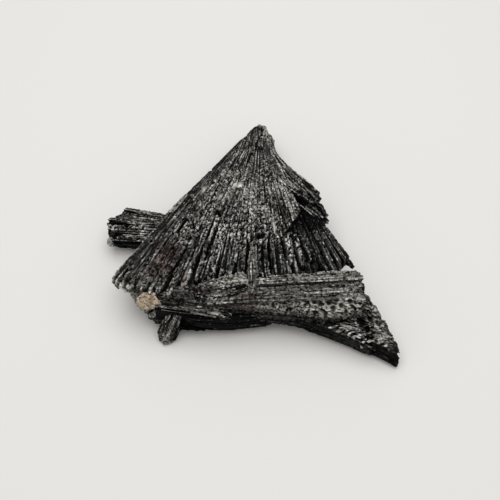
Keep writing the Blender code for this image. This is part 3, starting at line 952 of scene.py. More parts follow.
# %% Make the big spray
# Where pale dust lies thick on the big spray and on its crust.
THICK_DUST = (
    (2.3, spot(-6.4, 23.5, 1.3, 0.9)), (1.9, spot(-4.8, 22.4, 0.9, 0.7)),
    (1.8, spot(-11.1, 18.9, 1.6, 1.2)),
)
spray(
    "big_spray", big_corners, 238, press_big, 101, reach=big_reach, crust=big_crust, dark_and_shade=big_dark_and_shade,
    rust=patches((1.0, spot(-31, -7, 5, 6)), (0.6, spot(-34, -14, 4, 4)), (0.8, spot(-22, -20, 4, 3))),
    dust=patches(
        (0.9, spot(-48, -17, 3, 2.5)), (0.9, spot(-43, -21.5, 5, 1.6)), (0.42, spot(-36, -16.5, 7, 4)),
        (0.7, spot(-34.2, -9.1, 1, 1)),
        *THICK_DUST, (0.25, spot(-6, 22, 10, 6)),
        (1.2, spot(-46.8, -18.5, 2.5, 1.3)), (1.2, spot(-44.4, -19.8, 2, 1.4)),
        (0.8, spot(-23.2, -16.7, 1.2, 1.5)), (0.7, spot(-25, -19.5, 2, 1.4)),
        (1.0, spot(-18.9, 23.1, 1.2, 1.6)), (0.7, spot(-22.8, 20.4, 0.8, 0.8)),
    ),
    pits=((1300, big_crust, (0.25, 0.5), (0.6, 1.4)), (26, big_crust, (0.6, 1.0), (1.5, 2.2))),
    lumps=0.12,
)

# %% [markdown]
# ## The crust on the big spray
# A second, shorter sheet of broken blades lies on the long ones. It is spongy and full of pits, and it
# ends in ragged ledges about three quarters of the way to the rim. It is a spray of its own, so its
# ledges really overhang the blades below and throw shadows on them.

# %% Lines of the crust sheet
CRUST_LEFT, CRUST_RIGHT = -29.0, 17.6
CRUST_REACH = {
    -29: 58, -25: 65, -21: 59, -17: 68, -14: 60, -11: 69, -8: 61, -5: 67, -3: 57, -1: 63, 1: 55, 3: 61,
    6: 57, 10: 54, 12: 53, 13: 50, 16: 50, 16.5: 47, 18: 45,
}
CRUST_LIFT = {-29: -0.9, -20: -0.8, -10: -0.7, -3: -0.5, 2: 0.1, 6: 1.0, 10: 2.6, 13: 3.9, 18: 5.0}


def crust_corner(angle, drop, columns):
    """A line of the crust sheet at this angle, lifted off the big spray's own line."""
    across = (angle - LEFT) / (RIGHT - LEFT)
    share = between(CRUST_REACH, angle) / between(REACH, angle)
    below_root, below_outer, below_swell = big_line(angle)
    root = np.array((-3.0 + 8.6 * across, 50.0, 13.0))
    outer = below_root + (below_outer - below_root) * share + below_swell * 4 * share * (1 - share)
    outer[2] += between(CRUST_LIFT, angle)
    core_outer = outer - (0, -1.0, 1.2)
    swell = below_swell * share**2 * (0, 0, 1)
    if drop:
        root, outer = root - (0, 0, 2.5), outer - (0, 0, drop)
    return Corner(root, outer, (root[0], root[1] - 1, 11.2), core_outer, columns, swell)


CRUST_TOP = [CRUST_LEFT, -24, -19, -14, -9, -4, 0, 5, 9, 13, CRUST_RIGHT]
CRUST_UNDER = [CRUST_RIGHT, 5, -9, CRUST_LEFT]
crust_corners = fan_corners(crust_corner, CRUST_TOP, CRUST_UNDER, 2.6, (4.6, 1.2), (9, 4))
CRUST_COLUMNS = sum(corner.columns for corner in crust_corners[: len(CRUST_TOP) - 1])
print("the crust covers angles from", CRUST_LEFT, "to", CRUST_RIGHT, "in", CRUST_COLUMNS, "columns")


# %% Blades of the crust sheet
def crust_column(angle):
    return (angle - CRUST_LEFT) / (CRUST_RIGHT - CRUST_LEFT) * CRUST_COLUMNS


# Gaps of its own: angle, distances from the apex where they start and end, and width.
CRUST_GAPS = (
    (-5.0, 24, 31, 0.8), (1.1, 37, 39, 1.0), (-20.3, 50, 55, 0.8), (6.9, 35, 40, 0.8),
    (8.0, 38, 45, 0.8), (5.1, 45, 53, 1.0), (-22, 40, 56, 0.6), (-12, 44, 60, 0.5), (11.5, 36, 52, 0.7),
)


def press_crust(relief, sides):
    draw = relief.draw
    top = (0, CRUST_COLUMNS)
    relief.layer(
        40, (-1, CRUST_COLUMNS + 1), (0.0, 0.0), (0.86, 1.1), (1.6, 3.0), (-1.0, -0.2), 7.0, jag=2.5,
    )
    relief.layer(32, top, (0.0, 0.5), (0.7, 1.1), (1.2, 2.8), (-0.4, 0.6), 8.0, jag=2.5)
    for _ in range(90):
        end = draw.uniform(0.3, 1.0)
        start = max(0.0, end - draw.uniform(0.06, 0.3))
        column = draw.uniform(0, CRUST_COLUMNS)
        lift, width = draw.uniform(0.1, 1.1), draw.uniform(0.9, 2.6)
        lean, tone = draw.uniform(-0.3, 0.3), draw.uniform(0, 1)
        relief.press(column, start, end, width, lift, lean, 7.0, tone, jag=2.0)
    cut_gaps(relief, CRUST_GAPS + GAPS, crust_column, CRUST_REACH, 4.5, 1.2, 2.2)
    for x, y, size, depth in HOLES:
        relief.hole(top, x, y, size, depth)
    relief.layer(16, (CRUST_COLUMNS, len(sides)), (0, 0.3), (0.8, 1.1), (2.0, 4.5), (-0.6, 0.2), 4.0)


print("gaps of the crust:", len(CRUST_GAPS), "of its own and", len(GAPS), "shared")

# %% [markdown]
# ## Ledges and speckle of the crust
# At its right the sheet ends in a stair of ledges, each cut back by its own amount. Elsewhere it ends in
# small random steps. Its speckle fades out towards the apex, where the blades are clean again.

# %% Ends and speckle of the crust sheet
# Ledges at the right of the sheet: from one angle to the next, and how much shorter the sheet is there.
LEDGES = (
    (6.4, 8.2, 7.0), (8.2, 9.6, 2.0), (9.6, 11.2, 8.0), (11.2, 12.8, 1.0), (12.8, 14.4, 5.5),
    (14.4, 16.3, 0.0), (16.3, 17.6, 2.5),
)


def crust_reach(lines, sides, draw):
    """Ragged everywhere, but for the ledges."""
    def short(column):
        return draw.choice([0.0, 3.0, 8.0, 15.0]) * draw.uniform(0.4, 1)

    ends = stepped_ends(lines, sides, lambda column: draw.integers(3, 9), short)
    length = np.linalg.norm(lines[:, 1] - lines[:, 0], axis=1)
    for first, last, cut in LEDGES:
        ledge = slice(int(crust_column(first)), int(crust_column(last)))
        ends[ledge] = 1 - cut / length[ledge]
    return ends


def crust_speckle(places):
    """Speckled everywhere but near the apex, where the blades are clean."""
    x, y = places[:, :, 0], places[:, :, 1]
    speckle = 0.9 + 0.3 * noise(x * 0.16, y * 0.16, 3.0, 72)
    return np.clip(speckle - np.clip((y - 30) / 14, 0, 0.75), 0.15, 1)


print("ledges:", len(LEDGES))

# %% Make the crust sheet
spray(
    "crust_sheet", crust_corners, 168, press_crust, 151, floor=-1.6, reach=crust_reach, caps=(3, 6),
    bite=0.8, crust=crust_speckle, lumps=0.16,
    dust=patches(
        *THICK_DUST, (0.6, spot(-9, 30, 2.0, 1.6)),
        (0.9, spot(2.3, 11.8, 0.7, 0.7)), (0.9, spot(5.8, 12.5, 0.8, 0.7)), (0.35, spot(2, 18, 12, 9)),
        base=0.04,
    ),
    pits=((900, crust_speckle, (0.25, 0.5), (0.6, 1.3)), (22, crust_speckle, (0.6, 1.1), (1.2, 2.0))),
)

# %% [markdown]
# ## Smaller sprays and bundles
# The other bodies are bundles of the same blades. Each is given by the lines along its upper face, from
# front to back, and by how thick it is at its root and at its end. The front side gets columns of its
# own, because the dark side faces with their long striae are seen from the front.

# %% Section of a bundle
def bundle_corners(lines, drops, pitch=0.3, front=14, back=6, under=10, swell=(0, 0, 0)):
    """lines are (root, outer) pairs of the upper face, drops the (root, outer) thickness at each."""
    tops = [(np.array(r, float), np.array(o, float)) for r, o in lines]
    lows = [(r - (0, 0, d[0]), o - (0, 0, d[1])) for (r, o), d in zip(tops, drops)]
    heart = [sum(p[end] for p in tops + lows) / (2 * len(tops)) for end in (0, 1)]

    def corner(pair, other, columns):
        cores = [((pair[end] + other[end]) / 2) * 0.5 + heart[end] * 0.5 for end in (0, 1)]
        return Corner(pair[0], pair[1], cores[0], cores[1], columns, swell)

    each = max(2, under // max(1, len(tops) - 1))
    corners = [corner(low, top, each) for low, top in zip(lows[:0:-1], tops[:0:-1])]
    corners.append(corner(lows[0], tops[0], front))
    for number in range(len(tops) - 1):
        wide = np.linalg.norm(tops[number + 1][1] - tops[number][1])
        corners.append(corner(tops[number], lows[number], max(3, round(wide / pitch))))
    corners.append(corner(tops[-1], lows[-1], back))
    return corners


two_lines = [((0, 0, 5), (0, -9, 5)), ((3, 0, 5), (3, -9, 5))]
print("a bundle of two lines has", len(bundle_corners(two_lines, [(2, 2)] * 2)), "corners")

# %% [markdown]
# ## Ends and blades of a bundle
# Three kinds of blades are enough for all bundles: plain ones in two layers, a crumbled mass with pits
# between them, and very thin ones on an almost flat face. Each is a function that gives a function, so
# that a bundle can be told its numbers here and be pressed later.

# %% Ragged ends
def ragged_ends(spread, run=(3, 8)):
    """Ends that step in and out by a few mm, a few columns at a time."""
    def reach(lines, sides, draw):
        return stepped_ends(
            lines, sides, lambda column: draw.integers(*run), lambda column: abs(draw.normal(0, spread)),
        )
    return reach


print("ragged ends step every 3 to 7 columns unless told otherwise")


# %% Three kinds of blades
def plain_blades(first, second, widths=(1.2, 2.8), half=5.0):
    """A full layer of blades, and a broken one on it."""
    def press(relief, sides):
        columns = (-1, len(sides) + 1)
        relief.layer(first, columns, (0, 0), (0.9, 1.1), widths, (-0.9, 0.0), half)
        relief.layer(
            second, columns, (0, 0.6), (0.6, 1.1), (widths[0] * 0.7, widths[1] * 0.8), (-0.3, 0.5), half,
        )
    return press


def crumbled(first, second, widths):
    """Blades with pits between them, and holes."""
    def press(relief, sides):
        plain_blades(first, second, widths)(relief, sides)
        for _ in range(14):
            start, column = relief.draw.uniform(0.05, 0.85), relief.draw.uniform(4, len(sides) - 4)
            end, width = start + relief.draw.uniform(0.06, 0.16), relief.draw.uniform(0.5, 1.0)
            relief.groove(column, start, end, width, 1.4)
    return press


def fine_blades(count, widths=(0.5, 1.3), gaps=()):
    """An almost flat face of very thin blades, with a few long gaps: column, start, end, width."""
    def press(relief, sides):
        relief.layer(count, (-1, len(sides) + 1), (0, 0), (0.95, 1.1), (1.6, 2.6), (-0.3, 0.0), 6.0)
        relief.layer(count, (0, len(sides)), (0, 0.7), (0.5, 1.1), widths, (-0.15, 0.12), 6.0)
        for column, start, end, width in gaps:
            relief.groove(column, start, end, width, 1.2)
    return press


print("blades can be plain, crumbled or fine")

# %% [markdown]
# ## The stump at the apex
# Where the fan was broken off its rock, the roots of its blades stand as a ragged stump. It is the same
# kind of bundle, with short thick blades, and with caps that are bitten deep to look torn.

# %% Apex stump
knob_lines = [
    ((-4.2, 51.4, 11.4), (-10.0, 37.0, 13.4)),
    ((-2.2, 53.2, 12.6), (-6.4, 37.0, 15.2)),
    ((-0.2, 54.6, 13.8), (-2.6, 37.0, 15.8)),
    ((2.2, 55.1, 14.8), (1.6, 37.0, 16.0)),
    ((4.4, 54.8, 14.4), (5.0, 37.0, 15.6)),
    ((6.2, 53.0, 13.2), (8.2, 37.0, 14.2)),
    ((7.4, 50.2, 12.0), (10.4, 37.0, 13.2)),
]
spray(
    "apex_stump", bundle_corners(knob_lines, [(8, 6)] * 7, 0.3, 8, 8, 16), 62,
    plain_blades(20, 22, (1.2, 3.0)), 163, floor=-1.6, reach=ragged_ends(3.5, (3, 7)), caps=(9, 4),
    bite=1.6, lumps=0.3, dark_and_shade=everywhere(0.18), crust=patches((0.8, spot(5, 51, 3, 5)), base=0.25),
    dust=patches((0.7, spot(5.5, 50.5, 2.2, 4)), (0.8, spot(3, 54, 1, 1))),
)

# %% [markdown]
# ## The spray that crosses the front
# It starts at the left end of the rim and opens to the right. Its top is one thin bright blade with a
# dark line under it, then comes a broad smooth blade. Both catch the light along their whole length. Each
# is a bundle of its own, so that the edge of one shades the next.

# %% Top blade
top_lines = [
    ((-19.3, -22.2, 22.8), (38.0, -18.6, 22.0)),
    ((-19.3, -21.4, 23.6), (38.0, -17.4, 23.0)),
    ((-19.3, -20.2, 23.4), (35.2, -15.2, 23.4)),
]
spray(
    "top_blade", bundle_corners(top_lines, [(3.0, 2.4)] * 3, 0.2, 8, 6, 8), 168, fine_blades(16), 223,
    floor=-0.8, reach=ragged_ends(0.8), caps=(4, 6), bite=0.5, lumps=0.15,
    crust=patches((0.4, spot(-12, -21, 12, 5)), (0.4, spot(34, -17, 4, 4)), base=0.45),
    dust=patches(
        (1.0, spot(-4.8, -20, 2.6, 2)), (0.4, spot(-14, -21, 6, 3)), (0.2, spot(33, -17, 5, 3)),
        base=0.38,
    ),
)

# %% Smooth blade
smooth_lines = [
    ((-18.0, -27.0, 19.6), (38.2, -24.2, 18.9)),
    ((-17.5, -25.2, 21.4), (38.4, -22.2, 20.2)),
    ((-17.0, -24.0, 22.3), (38.4, -20.6, 20.5)),
    ((-16.9, -22.4, 21.3), (38.0, -18.4, 19.9)),
]
spray(
    "smooth_blade", bundle_corners(smooth_lines, [(4.0, 5.0)] * 4, 0.22, 8, 6, 8), 168,
    fine_blades(
        20, gaps=((28, 0.62, 1.0, 0.9), (20, 0.78, 1.0, 0.6), (24, 0.3, 0.6, 0.5), (36, 0.75, 1.0, 0.7)),
    ),
    227, floor=-0.8, reach=ragged_ends(0.9, (4, 9)), caps=(4, 7), bite=0.6, lumps=0.2,
    crust=patches((0.5, spot(-12, -24, 9, 4)), (0.4, spot(36, -21, 4, 5)), base=0.25),
    rust=patches((0.7, spot(-3, -25, 5, 2.5))), painted_shade_from=0.35, dust=everywhere(0.16),
    # Painted shade: a thin shadow line under the edge of the top blade, and the right end darker.
    dark_and_shade=patches((0.45, spot(36, -22.6, 4, 1.6)), (0.3, spot(26, -20.9, 12, 0.5))),
)

# %% [markdown]
# ## A blade that crosses over, and crust beside it
# One thin blade of the big spray runs on over the top of the crossing one. Beside it the first blades of
# the crossing spray are crumbled into a crust with dust and rust on it. They are laid on top as two small
# bundles, and they share space with the blades below, as grown blades do.

# %% Blade that crosses over
over_lines = [
    ((-1.8, -6.0, 23.2), (-1.8, -24.6, 23.6)),
    ((-0.6, -6.0, 23.8), (-0.4, -24.8, 24.0)),
    ((0.8, -6.0, 23.2), (1.0, -24.4, 23.6)),
]
spray(
    "crossing_blade", bundle_corners(over_lines, [(2.2, 2.0)] * 3, 0.22, 4, 4, 6, (0, 0, 1.6)), 84,
    plain_blades(7, 8, (0.7, 1.4)), 313, floor=-0.6, reach=ragged_ends(0.8), caps=(3, 5), bite=0.4,
    lumps=0.2, crust=everywhere(0.5), dust=everywhere(0.35),
)

# %% Crust on the crossing spray
patch_lines = [
    ((-20.5, -25.2, 21.4), (-3.4, -24.4, 22.6)),
    ((-20.8, -23.6, 22.4), (-2.4, -21.8, 23.8)),
    ((-20.4, -21.8, 22.8), (-2.6, -18.0, 24.1)),
    ((-19.6, -20.6, 22.6), (-1.8, -15.4, 24.0)),
]
spray(
    "crossing_crust", bundle_corners(patch_lines, [(2.4, 2.2)] * 4, 0.24, 5, 5, 8), 64,
    crumbled(12, 22, (0.8, 2.0)), 317, floor=-1.3, reach=ragged_ends(2.4, (2, 6)), caps=(4, 5),
    bite=0.9, lumps=0.7, pits=((60, spot(-12, -22, 12, 6), (0.25, 0.5), (0.6, 1.3)),),
    crust=everywhere(0.85),
    dust=patches((1.6, spot(-5.6, -17.8, 3.0, 2.0)), (0.3, spot(-13, -23, 5, 2)), base=0.06),
    rust=patches((0.8, spot(-3, -24, 4, 2)), (0.7, spot(-17, -23, 4, 2))), painted_shade_from=0.0,
    dark_and_shade=patches((0.5, spot(-17.5, -22, 5, 3))),
)

# %% [markdown]
# ## The pitted band
# Under the smooth blade the blades are eaten into pits, most of them at the right end. A field of small
# pits is strewn by chance, and twelve larger ones are listed one by one. Dust lies between the pits.

# %% Blades and pits of the band
# Pits that can be told apart: where they are seen from above, their size and depth.
BAND_HOLES = (
    (26.2, -25.4, 0.8, 1.6), (28.3, -24.8, 0.7, 1.4), (27.4, -27.4, 0.8, 1.6), (23.0, -26.2, 0.6, 1.3),
    (21.0, -28.2, 0.5, 1.2), (24.8, -28.6, 0.6, 1.3), (30.1, -26.6, 0.7, 1.4), (31.8, -28.2, 0.5, 1.2),
    (18.4, -25.6, 0.5, 1.2), (33.1, -25.2, 0.7, 1.5), (12.5, -27.2, 0.5, 1.1), (6.5, -26.2, 0.5, 1.1),
)
# The first column of the upper face, past the tall front side.
BAND_TOP_START = 40


def press_band(relief, sides):
    relief.layer(42, (-1, len(sides) + 1), (0, 0), (0.95, 1.1), (1.8, 3.4), (-0.7, -0.2), 6.0)
    relief.layer(38, (0, len(sides)), (0, 0.4), (0.8, 1.1), (1.2, 2.6), (-0.4, 0.2), 6.0)
    relief.layer(24, (0, len(sides)), (0, 0.8), (0.5, 1.1), (0.8, 2.0), (-0.1, 0.3), 6.0)
    for x, y, size, depth in BAND_HOLES:
        relief.hole((BAND_TOP_START, len(sides) - 8), x, y, size * 1.2, depth)


print("large pits in the band:", len(BAND_HOLES))

# %% Make the pitted band
band_lines = [
    ((-34.6, -24.6, 16.4), (29.6, -29.9, 12.6)),
    ((-34.6, -24.4, 17.4), (33.8, -29.2, 15.2)),
    ((-34.0, -24.0, 18.8), (37.4, -27.6, 17.2)),
    ((-33.0, -23.2, 19.6), (39.6, -25.4, 18.6)),
    ((-31.0, -22.4, 20.2), (39.0, -23.8, 19.0)),
    ((-29.0, -21.6, 20.6), (37.6, -22.4, 19.8)),
    ((-22.0, -21.0, 21.4), (36.4, -17.4, 20.6)),
]
band_pits = patches((1.0, spot(28, -26, 12, 5)), (0.6, spot(10, -26, 14, 4)), base=0.1)
spray(
    "pitted_band", bundle_corners(band_lines, [(7, 7.5)] * 2 + [(8, 9)] * 5, 0.24, 26, 8, 20), 250,
    press_band, 211, floor=-1.5, reach=ragged_ends(1.0, (5, 12)), caps=(4, 9), bite=0.8, lumps=0.3,
    painted_shade_from=0.55, crust=patches((0.6, spot(28, -26, 12, 5)), (0.35, spot(8, -26, 18, 5)), base=0.15),
    dust=patches(
        (0.9, spot(28.5, -27, 6, 2.6)), (0.5, spot(25.0, -28.2, 3.2, 1.0)), (0.3, spot(10, -26, 14, 3)),
        (0.5, spot(30, -24, 9, 4)), base=0.12,
    ),
    # A painted shadow line along the band's lower edge, and the left part darker.
    dark_and_shade=patches((0.35, spot(-20, -26, 12, 5)), (0.9, spot(25, -29.6, 9, 0.9))),
    rust=patches((0.9, spot(-3, -25.5, 5, 3))),
    pits=((300, band_pits, (0.22, 0.4), (0.8, 1.4)), (20, spot(31, -26, 8, 4), (0.45, 0.8), (1.2, 2.0))),
)

# %% [markdown]
# ## The dark belly and its slivers
# Below the band the crossing spray falls away to the table, clean and nearly black. All of it gets
# painted shade, whichever way it looks. A few slivers that stick out of it are dusty and catch the light,
# and they are what tells the eye that the belly is made of blades too.

# %% Belly
belly_lines = [
    ((-25.3, -28.3, 10.0), (2.6, -27.6, 8.4)),
    ((-27.5, -28.3, 13.0), (4.6, -27.4, 10.6)),
    ((-33.0, -26.6, 14.6), (6.4, -27.4, 12.2)),
    ((-34.6, -24.6, 15.2), (7.4, -25.6, 13.0)),
]
spray(
    "dark_belly",
    bundle_corners(belly_lines, [(5.6, 4.2), (8, 5.5), (8, 6), (8, 6)], 0.26, 26, 6, 16, (0, -1.4, 0)),
    130, plain_blades(26, 34, (0.8, 2.2)), 235, floor=-1.3, reach=ragged_ends(1.0), caps=(4, 7), bite=0.8,
    crust=everywhere(0.12), painted_shade_from=1.2,
)

# %% Bright slivers on the belly
sliver_lines = [
    ((-27.0, -26.4, 15.0), (-9.0, -29.6, 13.6)),
    ((-26.6, -25.4, 16.6), (-8.0, -28.6, 14.9)),
    ((-26.0, -24.4, 17.4), (-7.0, -27.2, 15.8)),
]
spray(
    "belly_slivers", bundle_corners(sliver_lines, [(3, 3)] * 3, 0.22, 8, 5, 8), 70,
    plain_blades(12, 16, (0.5, 1.3)), 337, floor=-0.9, reach=ragged_ends(2.6, (2, 5)), caps=(4, 6),
    bite=0.6, lumps=0.3, painted_shade_from=0.3, crust=everywhere(0.2),
    dust=patches((0.8, spot(-13.6, -27.6, 2.5, 1)), (0.4, spot(-22, -26.5, 3, 1))),
)

# %% [markdown]
# ## The long point
# The last blades of the crossing spray run on to a point that touches the table. They are snapped off on
# a slant, so their blocky ends make a glittering slope, and their long side is dark and striped, with
# painted shade. The slope is made of many short blocks, a strip of longer ones at the rim, and small
# chips in groups; its glitter is painted, as white on the brightest blocks and on the chips.

# %% Chips and holes of the point
# Where small chips stand that are painted white as glints: their middle seen from above, how far they
# spread, and their number.
GLINTS = (
    (33.2, -31.0, 2.2, 0.9, 34), (30.4, -31.2, 1.4, 0.6, 12), (40.4, -34.6, 1.6, 1.2, 22),
    (37.0, -32.6, 1.6, 0.8, 18), (43.4, -32.6, 1.4, 1.6, 12), (46.4, -36.8, 1.2, 1.2, 8),
)


# Dark holes in the slope: where they are seen from above, their size and depth.
POINT_HOLES = (
    (37.8, -30.0, 1.2, 2.0), (39.6, -31.8, 1.1, 2.0), (39.6, -34.6, 0.8, 1.6), (41.0, -34.8, 0.7, 1.5),
    (40.2, -28.8, 0.7, 1.5), (36.6, -29.0, 0.7, 1.4),
)
print("chips:", sum(count for *where, count in GLINTS), "and holes:", len(POINT_HOLES))


# %% Blocks of the slope
BLOCKS, RIM_BLOCKS = 110, 11
BLOCKY = {"jag": 0.3, "edge": 0.05, "ramp": 0.012}


def point_blocks(relief, last):
    """Short blocks over the slope, up to this column, and a strip of blocks along the rim."""
    draw = relief.draw
    for _ in range(BLOCKS):
        end = draw.uniform(0.64, 1.02)
        start = end - draw.uniform(0.02, 0.055)
        lift, width = draw.uniform(-0.4, 1.2), draw.uniform(1.4, 3.4)
        column, lean = draw.uniform(50, last - 26), draw.uniform(-0.9, 0.9)
        # Blocks of tone 2.6 are painted white, as glints.
        tone = draw.choice([-0.5, 0.0, 0.5, 1.3, 2.6])
        relief.press(column, start, end, width, lift, lean, 10.0, tone, **BLOCKY)
    for column in np.linspace(62, last - 10, RIM_BLOCKS):
        start, lift = draw.uniform(0.9, 0.95), draw.uniform(0.1, 0.7)
        relief.press(column, start, 1.08, 4.0, lift, 0.1, 14.0, 0.7, **(BLOCKY | {"jag": 0.4}))


def point_chips(relief, top):
    """Small chips, painted white as glints by their high tone, strewn round the middle of each group."""
    draw = relief.draw
    for x, y, wide, deep, count in GLINTS:
        for _ in range(count):
            there = x + draw.normal(0, wide), y + draw.normal(0, deep)
            size, lift, lean = draw.uniform(0.3, 0.8), draw.uniform(0.8, 1.6), draw.uniform(-0.5, 0.5)
            relief.chip(top, *there, size, lift, lean, draw.uniform(1.6, 4.0))


print("blocks on the slope and along its rim:", BLOCKS, RIM_BLOCKS)


# %% Blades of the point
# The columns of the tall striped side, and the first one in which chips and holes are looked for.
DARK_SIDE = (16, 49)
SLOPE_START = 44


def press_point(relief, sides):
    draw = relief.draw
    relief.layer(34, (-1, len(sides) + 1), (0, 0), (0.9, 1.1), (1.3, 2.6), (-1.0, -0.2), 6.0)
    relief.layer(34, (0, len(sides)), (0, 0.5), (0.7, 1.05), (0.8, 2.0), (-0.4, 0.4), 6.0)
    relief.layer(14, DARK_SIDE, (0.4, 0.85), (0.97, 1.1), (1.2, 2.4), (0.0, 0.8), 5.0)
    top = (SLOPE_START, len(sides) - 6)
    point_blocks(relief, len(sides))
    point_chips(relief, top)
    for _ in range(26):
        start, column = draw.uniform(0.62, 0.9), draw.uniform(50, len(sides) - 20)
        relief.groove(column, start, start + draw.uniform(0.02, 0.06), draw.uniform(0.6, 1.3), 1.6)
    for x, y, size, depth in POINT_HOLES:
        relief.hole(top, x, y, size, depth)


print("columns of the dark side:", DARK_SIDE[1] - DARK_SIDE[0])

# %% Make the long point
point_lines = [
    ((1.0, -26.0, 11.6), (50.2, -42.7, 6.6)),
    ((4.0, -25.6, 12.2), (51.8, -40.4, 7.4)),
    ((8.0, -26.0, 12.2), (50.6, -37.4, 8.2)),
    ((12.0, -25.0, 12.8), (48.4, -34.2, 10.4)),
    ((14.0, -24.0, 13.6), (45.8, -30.6, 12.8)),
    ((16.0, -22.0, 14.0), (42.4, -26.2, 15.6)),
    ((16.0, -20.0, 14.0), (40.0, -22.8, 17.0)),
]
point_drops = [(7.0, 6.6), (6.8, 6.6), (7, 7), (8, 8.5), (7, 8.5), (7, 8.5), (6, 8)]
slope = spot(42, -31, 9, 9)
spray(
    "long_point", bundle_corners(point_lines, point_drops, 0.26, 30, 6, 20, (0, 2.7, 0.7)), 200,
    press_point, 247, floor=-1.4, reach=ragged_ends(0.8, (3, 8)), caps=(4, 10), bite=0.7, lumps=0.15,
    # Painted shade under the band: over the root of the slope, and a black line along the band's lower
    # edge.
    painted_shade_from=0.84, dark_and_shade=patches((1.0, spot(12, -28, 19, 8)), (1.0, spot(25, -29.3, 8, 0.8))),
    crust=patches((0.5, slope), base=0.1),
    # The pale spot round the first group of chips is a painted glint.
    dust=patches(
        (0.8, spot(32.8, -31.2, 3.2, 1.2)), (0.36, slope), (0.95, spot(44.6, -33.8, 1.5, 1.8)),
        (0.95, spot(42.4, -30.6, 1.3, 2.2)), (0.95, spot(47.2, -37.4, 1.5, 1.8)),
        (0.8, spot(37.6, -34.4, 0.8, 0.7)),
    ),
    pits=((90, slope, (0.25, 0.5), (0.6, 1.4)), (10, spot(39, -31, 5, 4), (0.7, 1.2), (1.2, 2.2))),
)

# %% [markdown]
# ## The broken bundle of the right edge
# High on the right a bundle of blades is snapped short and overhangs the longer blades under it, which
# leaves the deepest shadow on the specimen. Two small blades and a spike look out under it.

# %% Right bundle
bundle_lines = [
    ((3.1, 39.5, 14.2), (17.8, 16.6, 20.6)),
    ((4.7, 42.5, 13.8), (20.6, 14.8, 20.6)),
    ((5.4, 45.5, 13.2), (23.8, 15.6, 19.9)),
    ((5.8, 47.0, 12.6), (25.4, 17.6, 19.6)),
    ((6.2, 47.6, 12.2), (24.8, 20.4, 19.4)),
]
spray(
    "right_bundle", bundle_corners(bundle_lines, [(4, 3.6)] * 5, 0.26, 8, 10, 16, (-2.2, -0.8, 0.4)),
    125, plain_blades(24, 26, (1.2, 3.0), 7.0), 259, floor=-1.3, reach=ragged_ends(1.8, (3, 8)),
    caps=(3, 7), bite=0.9,
    crust=patches((0.9, spot(18, 14, 7, 6)), base=0.2), dust=patches((0.5, spot(18, 12, 6, 3))),
    pits=((90, spot(16, 18, 8, 10), (0.2, 0.45), (0.3, 0.8)),),
)

# %% Blades and spike under it
shelf_lines = [
    ((14.2, 19.1, 14.6), (24.3, 9.1, 15.0)),
    ((15.8, 21.0, 14.4), (27.4, 8.6, 15.0)),
    ((16.6, 23.0, 14.2), (27.9, 10.4, 15.2)),
    ((17.4, 24.9, 14.0), (25.2, 14.7, 16.6)),
]
spray(
    "shelf_blades", bundle_corners(shelf_lines, [(3, 2.6)] * 4, 0.28, 6, 8, 10), 60,
    plain_blades(14, 14, (0.9, 2.0)), 263, floor=-1.0, reach=ragged_ends(1.8, (3, 6)), caps=(3, 5),
    bite=0.5,
)

edge_lines = [((22.4, 10.0, 13.4), (33.8, -8.2, 14.8)), ((24.8, 10.2, 13.4), (36.4, -9.3, 15.0))]
spray(
    "edge_spike", bundle_corners(edge_lines, [(4, 3.0)] * 2, 0.24, 8, 8, 8), 80,
    plain_blades(10, 8, (0.8, 1.6)), 271, floor=-0.8, reach=ragged_ends(1.4, (2, 5)), caps=(3, 5),
    bite=0.3,
)

# %% [markdown]
# ## The sheaf at the left
# A sheaf of broader blades looks out from under the left edge and points straight to the side. Its dark
# front face is tall, so it gets many columns of its own.

# %% Left sheaf
sheaf_lines = [
    ((-8.0, 2.6, 9.6), (-53.0, 4.8, 9.4)),
    ((-8.0, 4.4, 9.9), (-54.0, 7.6, 10.4)),
    ((-8.0, 6.4, 10.1), (-55.4, 10.6, 10.8)),
    ((-8.0, 7.6, 10.2), (-55.2, 12.8, 11.2)),
    ((-8.0, 9.0, 10.2), (-50.4, 15.2, 11.6)),
    ((-8.0, 10.4, 10.2), (-48.0, 17.9, 11.6)),
]
spray(
    "left_sheaf", bundle_corners(sheaf_lines, [(5, 6.6)] * 6, 0.25, 22, 14, 20), 150,
    plain_blades(30, 26, (1.6, 3.8), 9.0), 283, floor=-1.3, reach=ragged_ends(1.2, (4, 9)),
    caps=(3, 9), bite=0.7,
    crust=patches((0.4, spot(-52, 9, 4, 5)), base=0.2), painted_shade_from=0.4,
    pits=((110, spot(-46, 9, 12, 7), (0.22, 0.45), (0.4, 1.0)),),
)

# %% [markdown]
# ## Front stub and broken plates
# In front, a short stub of fine blades leans down to the table, with dust on its broken end. Between it
# and the rim the snapped plates of the underside show. They hold up the rim, so they reach far back
# under the big spray.

# %% Front stub
stub_lines = [
    ((-28.6, -20.8, 13.4), (-34.6, -30.8, 3.6)),
    ((-26.8, -21.4, 14.6), (-33.2, -32.6, 3.8)),
    ((-24.8, -21.6, 14.8), (-31.0, -33.6, 3.8)),
    ((-22.8, -21.8, 14.2), (-28.8, -32.6, 3.8)),
]
stub_drops = [(6, 3.0), (7, 3.2), (7, 3.2), (6, 3.0)]
spray(
    "front_stub", bundle_corners(stub_lines, stub_drops, 0.22, 14, 14, 16, (0, -0.6, 1.4)), 70,
    plain_blades(20, 16, (0.9, 1.8), 6.0), 293, floor=-0.7, reach=ragged_ends(0.5, (3, 7)),
    caps=(3, 9), bite=0.5, crust=patches((0.6, spot(-31.5, -33, 4, 2)), base=0.1),
    dust=patches((0.8, spot(-31.5, -33.2, 4, 1.4))), lumps=0.25, painted_shade_from=0.55,
)

